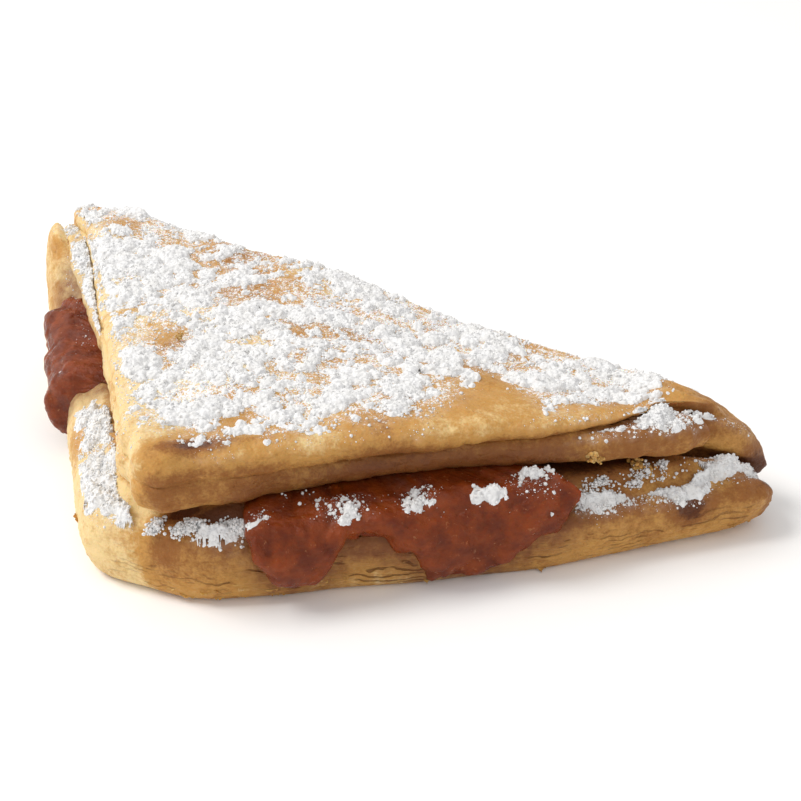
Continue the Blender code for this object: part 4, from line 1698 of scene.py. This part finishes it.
    def lid_share(self, land: Landing, plan: Plan, crust: Crust) -> Array:
        """Tell the lid's top from the ledges, by its plan and its height.

        Args:
            land: the surface that sugar meets.
            plan: the turnover's plan.
            crust: the crust, which has the lid's setback.

        Returns:
            1 on the lid's top and 0 elsewhere.
        """
        x, y = land.points[..., 0], land.points[..., 1]
        angle = np.arctan2(y, x)
        reach = plan.outline(angle, 0.0)
        walk = reach * (np.cos(angle) - np.sin(angle))
        setback = profile(walk, crust.lid_setback) + self.lid_inset * MM
        fold = plan.fold_share(plan.turn_of(angle))
        edge = plan.outline(angle, setback * (1.0 - fold) + self.fold_inset * MM * fold)
        inside = climb(edge - np.hypot(x, y), self.lid_fringe)
        return inside * climb(land.height, self.lid_heights)

    def layer(self, land: Landing, cover: Array, on_lid: Array) -> Array:
        """Work out the powder's thickness: clumps of three sizes, lowered where cover is thin.

        The clumps' heights are sorted, and the level below which the surface is bare is the one
        that leaves the wanted cover above it. What stands above that level has a thin skin with
        a steep fringe, and over it a heap.

        Args:
            land: the surface it meets.
            cover: how much it hides.
            on_lid: 1 on the lid's top and 0 on the ledges, where the heaps are higher.

        Returns:
            Thickness in metres, below 0 where the surface is bare.
        """
        flat = plan_of(land.points)
        bent = flat + self.bend_reach * MM * np.stack([bend.over(flat) for bend in self.bends], axis=-1)
        clumps = layered(bent, self.clumps) + layered(flat, self.uneven)
        levels = np.sort(clumps.ravel()[:: self.level_stride])
        bare_level = np.interp(1.0 - cover, np.linspace(0.0, 1.0, len(levels)), levels)
        too_steep = step(land.slope, 1.7 - 0.8 * on_lid, 2.6 - 1.0 * on_lid)
        raised = clumps - bare_level - 0.9 * too_steep
        skin = self.skin * (1.0 - np.exp(-np.abs(raised) / self.skin_fringe)) * np.sign(raised)
        heap = self.heap * (1.0 + self.ledge_heap * (1.0 - on_lid)) * np.maximum(raised, 0.0)
        thick = (skin + heap + self.grainy.over(flat) * step(raised, 0.0, 0.1)) * MM
        room = CAD_BOX[1][2] + self.headroom * MM - land.height
        return np.minimum(thick, np.maximum(room, self.thinnest * MM))

    def build(self, land: Landing, plan: Plan, crust: Crust) -> tuple[Piece, Array, Array, Array]:
        """Build the powder as a sheet that dips into the crust where it is bare.

        Args:
            land: the surface it meets.
            plan: the turnover's plan.
            crust: the crust.

        Returns:
            The sheet, and on the grid its cover, its thickness and the lid's share.
        """
        on_lid = self.lid_share(land, plan, crust)
        cover = self.cover(land, on_lid)
        thick = self.layer(land, cover, on_lid)
        buried = self.buried * MM
        held = np.where(land.hit, np.maximum(thick, -buried), -buried)
        points = land.points + np.stack([0.0 * held, 0.0 * held, held], axis=-1)
        quads = grid_quads(*held.shape)
        flat_thick = np.where(land.hit, thick, -1.0).ravel()[quads]
        flat_height = points[..., 2].ravel()[quads]
        drop = flat_height.max(axis=1) - flat_height.min(axis=1)
        ground = land.height.ravel()[quads]
        lid = on_lid.ravel()[quads].max(axis=1)
        fall = ground.max(axis=1) - ground.min(axis=1)
        most_drop, most_fall = (
            (off - less * lid) * MM for off, less in (self.steepest_drop, self.steepest_fall)
        )
        gentle = (drop < most_drop) & (fall < most_fall)
        shown = (flat_thick.max(axis=1) > 0.0) & (flat_thick.min(axis=1) > -0.9) & gentle
        quads = quads[shown]
        used, renumbered = np.unique(quads, return_inverse=True)
        sheet = mesh_object("sugar_powder", points.reshape(-1, 3)[used], renumbered.reshape(-1, 4))
        return sheet, cover, thick, on_lid


UNEVEN = (0.86, 1.14)


class GrainShape(Enum):
    """What a loose grain looks like."""

    SPECK = "speck"
    CLOT = "clot"


def grain_form(shape: GrainShape) -> TwoArrays:
    """Give the corners and faces of one grain of radius 1.

    Args:
        shape: a speck has 8 faces and a clot has 20.

    Returns:
        Corner places, and corner numbers of each three-sided face.
    """
    if shape is GrainShape.SPECK:
        corners = np.array([(1, 0, 0), (0, 1, 0), (-1, 0, 0), (0, -1, 0), (0, 0, 1), (0, 0, -1)], dtype=float)
        faces = [(0, 1, 4), (1, 2, 4), (2, 3, 4), (3, 0, 4), (1, 0, 5), (2, 1, 5), (3, 2, 5), (0, 3, 5)]
        return corners, np.array(faces)
    golden = (1.0 + math.sqrt(5.0)) / 2.0
    corners = np.array(
        [
            (-1, golden, 0), (1, golden, 0), (-1, -golden, 0), (1, -golden, 0),
            (0, -1, golden), (0, 1, golden), (0, -1, -golden), (0, 1, -golden),
            (golden, 0, -1), (golden, 0, 1), (-golden, 0, -1), (-golden, 0, 1),
        ]
    )
    faces = [
        (0, 11, 5), (0, 5, 1), (0, 1, 7), (0, 7, 10), (0, 10, 11), (1, 5, 9), (5, 11, 4),
        (11, 10, 2), (10, 7, 6), (7, 1, 8), (3, 9, 4), (3, 4, 2), (3, 2, 6), (3, 6, 8),
        (3, 8, 9), (4, 9, 5), (2, 4, 11), (6, 2, 10), (8, 6, 7), (9, 8, 1),
    ]
    return corners / math.hypot(1.0, golden), np.array(faces)


def scatter(name: str, shape: GrainShape, places: Array, radii: Array, seed: int) -> Piece:
    """Build many grains as one mesh, each turned at random and a little uneven.

    Each corner is the grain's own corner, jittered, turned by its own random axes, scaled by
    its radius and moved to its place.

    Args:
        name: the piece's name.
        shape: which grain.
        places: centres, count x 3.
        radii: radius of each.
        seed: picks the turns.

    Returns:
        The grains.
    """
    chance = np.random.default_rng(seed)
    corners, faces = grain_form(shape)
    count = len(places)
    turns, _ = np.linalg.qr(chance.normal(size=(count, 3, 3)))
    turns = turns * np.sign(np.linalg.det(turns))[:, None, None]
    uneven = corners[None] * chance.uniform(*UNEVEN, size=(count, len(corners), 1))
    points = np.einsum("nij,nkj->nki", turns, uneven) * radii[:, None, None] + places[:, None]
    numbers = faces[None] + (np.arange(count) * len(corners))[:, None, None]
    return mesh_object(name, points.reshape(-1, 3), numbers.reshape(-1, 3))


@dataclass(frozen=True)
class Grains:
    """Loose sugar: clots on the powder and along its fringe, and specks thrown further out."""

    clots: int = 7100
    sheltered_clots: int = 2700
    specks: int = 23000
    clot_radius: Pair = (0.12, 0.42)
    speck_radius: Pair = (0.05, 0.15)
    sheltered_radius: Pair = (0.08, 0.40)
    small_ones: Pair = (1.3, 3.2)
    sheltered_small_ones: Pair = (1.2, 2.8)
    piled: Pair = (0.10, 0.22)
    thrown_clots: float = 0.09
    specks_on_top: float = 0.08
    thrown_specks: float = 0.30
    seed: int = 7
    turns_seed: int = 19
    steepest: Pair = (1.8, 3.0)
    fringe: float = 0.20
    pile: Pair = (0.0, 0.3)
    thrown: float = 2.2
    ledge_gain: float = 4.0
    headroom: float = 0.3
    drift: Waves = Waves(1.0, 1.9, 91)
    drift_height: float = 0.9
    drift_spread: float = 0.25
    sheltered: tuple[Spot, ...] = (
        Spot((-24.6, -28.3, 12.1), (1.7, 0.9, 1.4), 0.8), Spot((-20.4, -30.6, 12.2), (2.6, 0.8, 1.4), 0.9),
        Spot((-15.4, -31.7, 12.4), (3, 0.8, 1.4), 1), Spot((-12.4, -32.8, 12), (1.6, 0.8, 1.4), 0.9),
        Spot((-4.4, -30.1, 15.5), (1.3, 1.8, 1.6), 1), Spot((-1.4, -30.2, 15.5), (1.2, 1.8, 1.6), 0.9),
        Spot((15, -30.8, 15.4), (1.6, 1.4, 1.6), 0.85), Spot((46.4, -33.4, 11.8), (3.2, 1.3, 1.6), 1),
        Spot((56.2, -32.4, 12.4), (3, 1.5, 1.6), 1), Spot((51.8, -33.6, 11.6), (1.6, 1, 1.6), 0.6),
    )

    def build(
        self,
        land: Landing,
        cover: Array,
        thick: Array,
        on_lid: Array,
        targets: list[Piece],
    ) -> list[Piece]:
        """Scatter the grains over the powder and its fringe.

        Args:
            land: the surface that sugar meets.
            cover: how much the powder hides.
            thick: the powder's thickness.
            on_lid: 1 on the lid's top, where fewer grains lie.
            targets: the crust and the jam.

        Returns:
            The clots and the specks.
        """
        chance = np.random.default_rng(self.seed)
        gentle = land.hit * (1.0 - step(land.slope, *self.steepest))
        gentle = gentle * (1.0 + self.ledge_gain * (1.0 - on_lid))
        fringe = bump(thick, 0.0, self.fringe * MM)
        on_top = climb(thick, self.pile)
        near = land.spread(cover, self.thrown * MM)
        piled = (self.piled[0] + self.piled[1] * (1.0 - on_lid)) * on_top
        thrown = self.thrown_clots * step(near, 0.05, 0.5)
        clot_weight = gentle * (fringe * step(cover, 0.15, 0.5) + piled + thrown)
        thrown = self.thrown_specks * step(near, 0.03, 0.5)
        speck_weight = gentle * (fringe * step(cover, 0.1, 0.5) + self.specks_on_top * on_top + thrown)
        pieces = []
        for name, shape, count, weight, radius in (
            ("sugar_clots", GrainShape.CLOT, self.clots, clot_weight, self.clot_radius),
            ("sugar_specks", GrainShape.SPECK, self.specks, speck_weight, self.speck_radius),
        ):
            picked = picks(chance, weight, count)
            small, large = radius
            radii = (small + (large - small) * chance.beta(*self.small_ones, count)) * MM
            places = land.points.reshape(-1, 3)[picked] + chance.uniform(-0.5, 0.5, (count, 3)) * land.spacing
            lift = np.maximum(thick.ravel()[picked], 0.0)
            places[:, 2] = land.points.reshape(-1, 3)[picked, 2] + lift + 0.25 * radii
            places[:, 2] = np.minimum(places[:, 2], CAD_BOX[1][2] + self.headroom * MM)
            if shape is GrainShape.CLOT:
                under, under_radii = self.under_ledges(chance, targets)
                places = np.concatenate([places, under])
                radii = np.concatenate([radii, under_radii])
            pieces.append(scatter(name, shape, places, radii, self.turns_seed))
        return pieces

    def under_ledges(self, chance: np.random.Generator, targets: list[Piece]) -> TwoArrays:
        """Place clots where sugar drifted in under an edge, on faces that look up.

        Args:
            chance: the random numbers.
            targets: the crust and the jam.

        Returns:
            The clots' centres and radii.
        """
        points, facing = (
            np.concatenate([vertex_values(piece, name) for piece in targets]) for name in ("co", "normal")
        )
        weight = all_spots(points, self.sheltered) ** 2 * step(facing[:, 2], 0.3, 0.6)
        heaped = step(self.drift.over(points), -0.15, 0.45)
        weight = weight * (0.05 + 0.95 * heaped)
        picked = picks(chance, weight, self.sheltered_clots)
        small, large = self.sheltered_radius
        count = self.sheltered_clots
        radii = (small + (large - small) * chance.beta(*self.sheltered_small_ones, count)) * MM
        shift = chance.normal(size=(count, 3)) * self.drift_spread * MM
        rise = chance.uniform(size=count) * heaped[picked] * self.drift_height * MM
        places = points[picked] + shift + facing[picked] * (rise + 0.3 * radii)[:, None]
        return places, radii


@dataclass(frozen=True)
class Crumbs:
    """Loose crumbs of baked dough, each a cluster of small grains.

    A crumb is its place and its size, in millimetres.
    """

    spots: tuple[Crumb, ...] = (
        (43.2, -33.5, 17.7, 1.15),
        (44.5, -33.7, 16.9, 0.8),
        (52.4, -31.6, 13.2, 1.15),
        (54.2, -32.1, 12.8, 0.8),
        (-16, 6.1, 26.4, 0.6),
    )
    grains: int = 90
    seed: int = 83
    turns_seed: int = 87
    looseness: float = 0.42
    grain_radius: Pair = (0.16, 0.38)
    shade: float = 0.32

    def build(self) -> Piece:
        """Cluster the grains round each crumb's centre, closer in for a smaller crumb.

        Returns:
            The crumbs.
        """
        chance = np.random.default_rng(self.seed)
        each = np.repeat(np.array(self.spots), self.grains, axis=0)
        centres, reach = each[:, :3], each[:, 3]
        places = (centres + self.looseness * reach[:, None] * chance.normal(size=centres.shape)) * MM
        radii = chance.uniform(*self.grain_radius, len(each)) * reach * MM
        piece = scatter("pastry_crumbs", GrainShape.CLOT, places, radii, self.turns_seed)
        set_mask(piece, "browning_and_painted_light", np.full(len(piece.data.vertices), self.shade))
        return piece


@dataclass(frozen=True)
class Flakes:
    """Thin leaves of pastry that stand off the sides, low down, with torn edges."""

    count: int = 60
    cells: tuple[int, int] = (14, 5)
    thickness: float = 0.11
    seed: int = 29
    heights: Pair = (0.9, 7.5)
    most_upright: float = 0.75
    usual_height: float = 1.8
    front_from: float = -30.0
    front_place: Pair = (-8.0, 14.0)
    length: Pair = (1.0, 4.4)
    width: Pair = (0.25, 0.75)
    droop: Pair = (-0.9, 0.5)
    raggedness: float = 0.45
    rooted: float = 0.45
    bend: float = 0.25
    lowest: float = 0.15
    shades: Pair = (0.25, 0.60)

    def build(self, crust: Piece) -> Piece:
        """Build every flake as a small curved sheet with a back.

        A flake is a grid: along the side it follows the outline, and across it leaves the
        surface outward and a little down, less at its ends, with a ragged free edge.

        Args:
            crust: the crust, whose points the flakes start from.

        Returns:
            The flakes.
        """
        chance = np.random.default_rng(self.seed)
        places, outward = vertex_values(crust, "co"), vertex_values(crust, "normal")
        lowest, highest = (height * MM for height in self.heights)
        height = places[:, 2]
        side = (np.abs(outward[:, 2]) < self.most_upright) & (height > lowest) & (height < highest)
        centre, reach = (place * MM for place in self.front_place)
        front = (places[:, 1] < self.front_from * MM) * (bump(places[:, 0], centre, reach) + 0.3)
        usual = bump(height, self.usual_height * MM, self.usual_height * MM)
        weight = side * (0.08 + 0.92 * front * usual)
        picked = picks(chance, weight, self.count)
        root, facing = places[picked], outward[picked]
        along = np.cross(facing, (0.0, 0.0, 1.0))
        along = along / np.linalg.norm(along, axis=1, keepdims=True)
        length = chance.uniform(*self.length, self.count) * MM
        width = chance.uniform(*self.width, self.count) * MM
        droop = chance.uniform(*self.droop, self.count)
        u = np.linspace(-0.5, 0.5, self.cells[0])[None, :, None]
        v = np.linspace(0.0, 1.0, self.cells[1])[None, None, :]
        taper = np.sqrt(np.clip(1.0 - (2.0 * u) ** 2, 0.0, 1.0))
        ragged = 1.0 + self.raggedness * chance.uniform(-1.0, 1.0, (self.count, self.cells[0], 1))
        out = (width[:, None, None] * taper * ragged * v) - self.rooted * MM
        lift = droop[:, None, None] * width[:, None, None] * v * v * taper
        bend = self.bend * MM * np.sin(5.0 * u + 6.0 * chance.uniform(size=(self.count, 1, 1)))
        sheet = (
            root[:, None, None]
            + along[:, None, None] * (u * length[:, None, None])[..., None]
            + facing[:, None, None] * out[..., None]
            + np.array([0.0, 0.0, 1.0]) * (lift + bend)[..., None]
        )
        under = sheet - np.array([0.0, 0.0, self.thickness * MM])
        rows, columns = self.cells
        both = np.stack([sheet, under], axis=1)
        both[..., 2] = np.maximum(both[..., 2], self.lowest * MM)
        each = 2 * rows * columns
        top = grid_quads(rows, columns)[:, [0, 3, 2, 1]]
        bottom = top[:, ::-1] + rows * columns
        loop = np.concatenate(
            [
                np.arange(columns),
                np.arange(1, rows) * columns + columns - 1,
                (rows - 1) * columns + np.arange(columns - 2, -1, -1),
                np.arange(rows - 2, 0, -1) * columns,
            ]
        )
        following = np.roll(loop, -1)
        rim = np.stack([following, loop, loop + rows * columns, following + rows * columns], axis=-1)
        faces = np.concatenate([top, bottom, rim])
        numbers = faces[None] + (np.arange(self.count) * each)[:, None, None]
        piece = mesh_object("pastry_flakes", both.reshape(-1, 3), numbers.reshape(-1, 4))
        set_mask(piece, "browning_and_painted_light", np.repeat(chance.uniform(*self.shades, self.count), each))
        return piece


# Floor, lights and camera


@dataclass(frozen=True)
class Studio:
    """A pale floor, a large lamp from behind on the left, and a soft sky."""

    floor_size: float = 6.0
    floor_colour: Colour = (0.97, 0.968, 0.965, 1.0)
    key_from: Triple = (-0.80, 0.30, 1.02)
    lamp_distance: float = 1.5
    key_size: float = 0.70
    key_power: float = 14.6
    key_colour: Triple = (1.0, 0.98, 0.95)
    fill_from: Triple = (0.2, -1.0, 0.7)
    fill_size: float = 1.6
    fill_power: float = 1.6
    fill_colour: Triple = (0.95, 0.97, 1.0)
    sky: Colour = (1.0, 0.99, 0.98, 1.0)
    sky_strength: float = 0.70

    def lamp(self, name: str, towards: Triple, size: float, power: float, colour: Triple) -> None:
        """Add a square lamp that faces the object.

        Args:
            name: the lamp's name.
            towards: direction from the object to the lamp.
            size: side of the lamp, in metres.
            power: its power, in watts.
            colour: its colour.
        """
        light = bpy.data.lights.new(name, "AREA")
        light.size = size
        light.energy = power
        light.color = colour
        holder = bpy.data.objects.new(name, light)
        direction = Vector(towards).normalized()
        holder.location = direction * self.lamp_distance
        holder.rotation_mode = "QUATERNION"
        holder.rotation_quaternion = direction.to_track_quat("Z", "Y")
        bpy.context.scene.collection.objects.link(holder)

    def build(self) -> None:
        """Add the floor, the lamps and the sky."""
        half = 0.5 * self.floor_size
        corners = np.array([(-half, -half, 0.0), (half, -half, 0.0), (half, half, 0.0), (-half, half, 0.0)])
        floor = mesh_object("floor", corners, np.arange(4)[None])
        material, nodes, shader = new_material(Finish.FLOOR)
        looks = {"Base Color": self.floor_colour, "Roughness": 0.9, "Specular IOR Level": 0.1}
        nodes.feed_all(shader, looks)
        floor.data.materials.append(material)
        self.lamp("window_light", self.key_from, self.key_size, self.key_power, self.key_colour)
        self.lamp("room_light", self.fill_from, self.fill_size, self.fill_power, self.fill_colour)
        world = bpy.data.worlds.new("sky")
        bpy.context.scene.world = world
        world.use_nodes = True
        sky = world.node_tree.nodes["Background"]
        sky.inputs["Color"].default_value = self.sky
        sky.inputs["Strength"].default_value = self.sky_strength


@dataclass(frozen=True)
class Viewpoint:
    """The camera, placed by angles round a target, as in the photograph."""

    target: Triple = (22.76, 4.40, 10.0)
    distance: float = 235.98
    azimuth: float = -16.588
    elevation: float = 28.600
    roll: float = 1.406
    lens: float = 58.43
    sensor: float = 36.0
    nearest: float = 0.01

    def build(self) -> None:
        """Add the camera and make it the scene's own."""
        turn, rise, roll = (math.radians(angle) for angle in (self.azimuth, self.elevation, self.roll))
        back = Vector((math.sin(turn) * math.cos(rise), -math.cos(turn) * math.cos(rise), math.sin(rise)))
        level = Vector((math.cos(turn), math.sin(turn), 0.0))
        upright = back.cross(level)
        right = level * math.cos(roll) + upright * math.sin(roll)
        up = upright * math.cos(roll) - level * math.sin(roll)
        lens = bpy.data.cameras.new("camera")
        lens.lens = self.lens
        lens.sensor_width = self.sensor
        lens.clip_start = self.nearest
        holder = bpy.data.objects.new("camera", lens)
        holder.rotation_mode = "QUATERNION"
        holder.rotation_quaternion = Matrix((right, up, back)).transposed().to_quaternion()
        holder.location = (Vector(self.target) + back * self.distance) * MM
        bpy.context.scene.collection.objects.link(holder)
        bpy.context.scene.camera = holder


def dress(piece: Piece, material: bpy.types.Material) -> None:
    """Give a piece its material and tie it to the part.

    Args:
        piece: the piece.
        material: what it is made of.
    """
    piece.data.materials.append(material)
    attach(piece, ROOT)
    log.info("%s: %d faces", piece.name, len(piece.data.polygons))


def main() -> None:
    """Build the turnover, its sugar and the studio, in order."""
    logging.basicConfig(level=logging.INFO, format="%(message)s")
    plan, lid_top, crust_form, sugar_form = Plan(), Top(), Crust(), Sugar()
    effects = Effects()
    jam, jam_points = Jam().build(plan)
    crust = crust_form.build(plan, lid_top, jam_points)
    land = Landing([crust, jam], sugar_form.spacing * MM)
    powder, cover, thick, on_lid = sugar_form.build(land, plan, crust_form)
    grains = Grains().build(land, cover, thick, on_lid, [crust, jam])
    for piece, share in ((crust, Crust.dust_share), (jam, Jam.dust_share)):
        land.lay_dust(piece, share * cover)
    flakes = Flakes().build(crust)
    crust_material = CrustFinish().build(effects)
    sugar_material = SugarFinish().build()
    dress(crust, crust_material)
    dress(jam, JamFinish().build(effects))
    flake_material = CrustFinish().build(effects, Finish.FLAKE)
    for piece in (flakes, Crumbs().build()):
        dress(piece, flake_material)
    for piece in (powder, *grains):
        dress(piece, sugar_material)
    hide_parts("pastry")
    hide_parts("filling")
    Studio().build()
    Viewpoint().build()
    bpy.context.scene.view_settings.view_transform = "Standard"


if __name__ == "__main__":
    main()
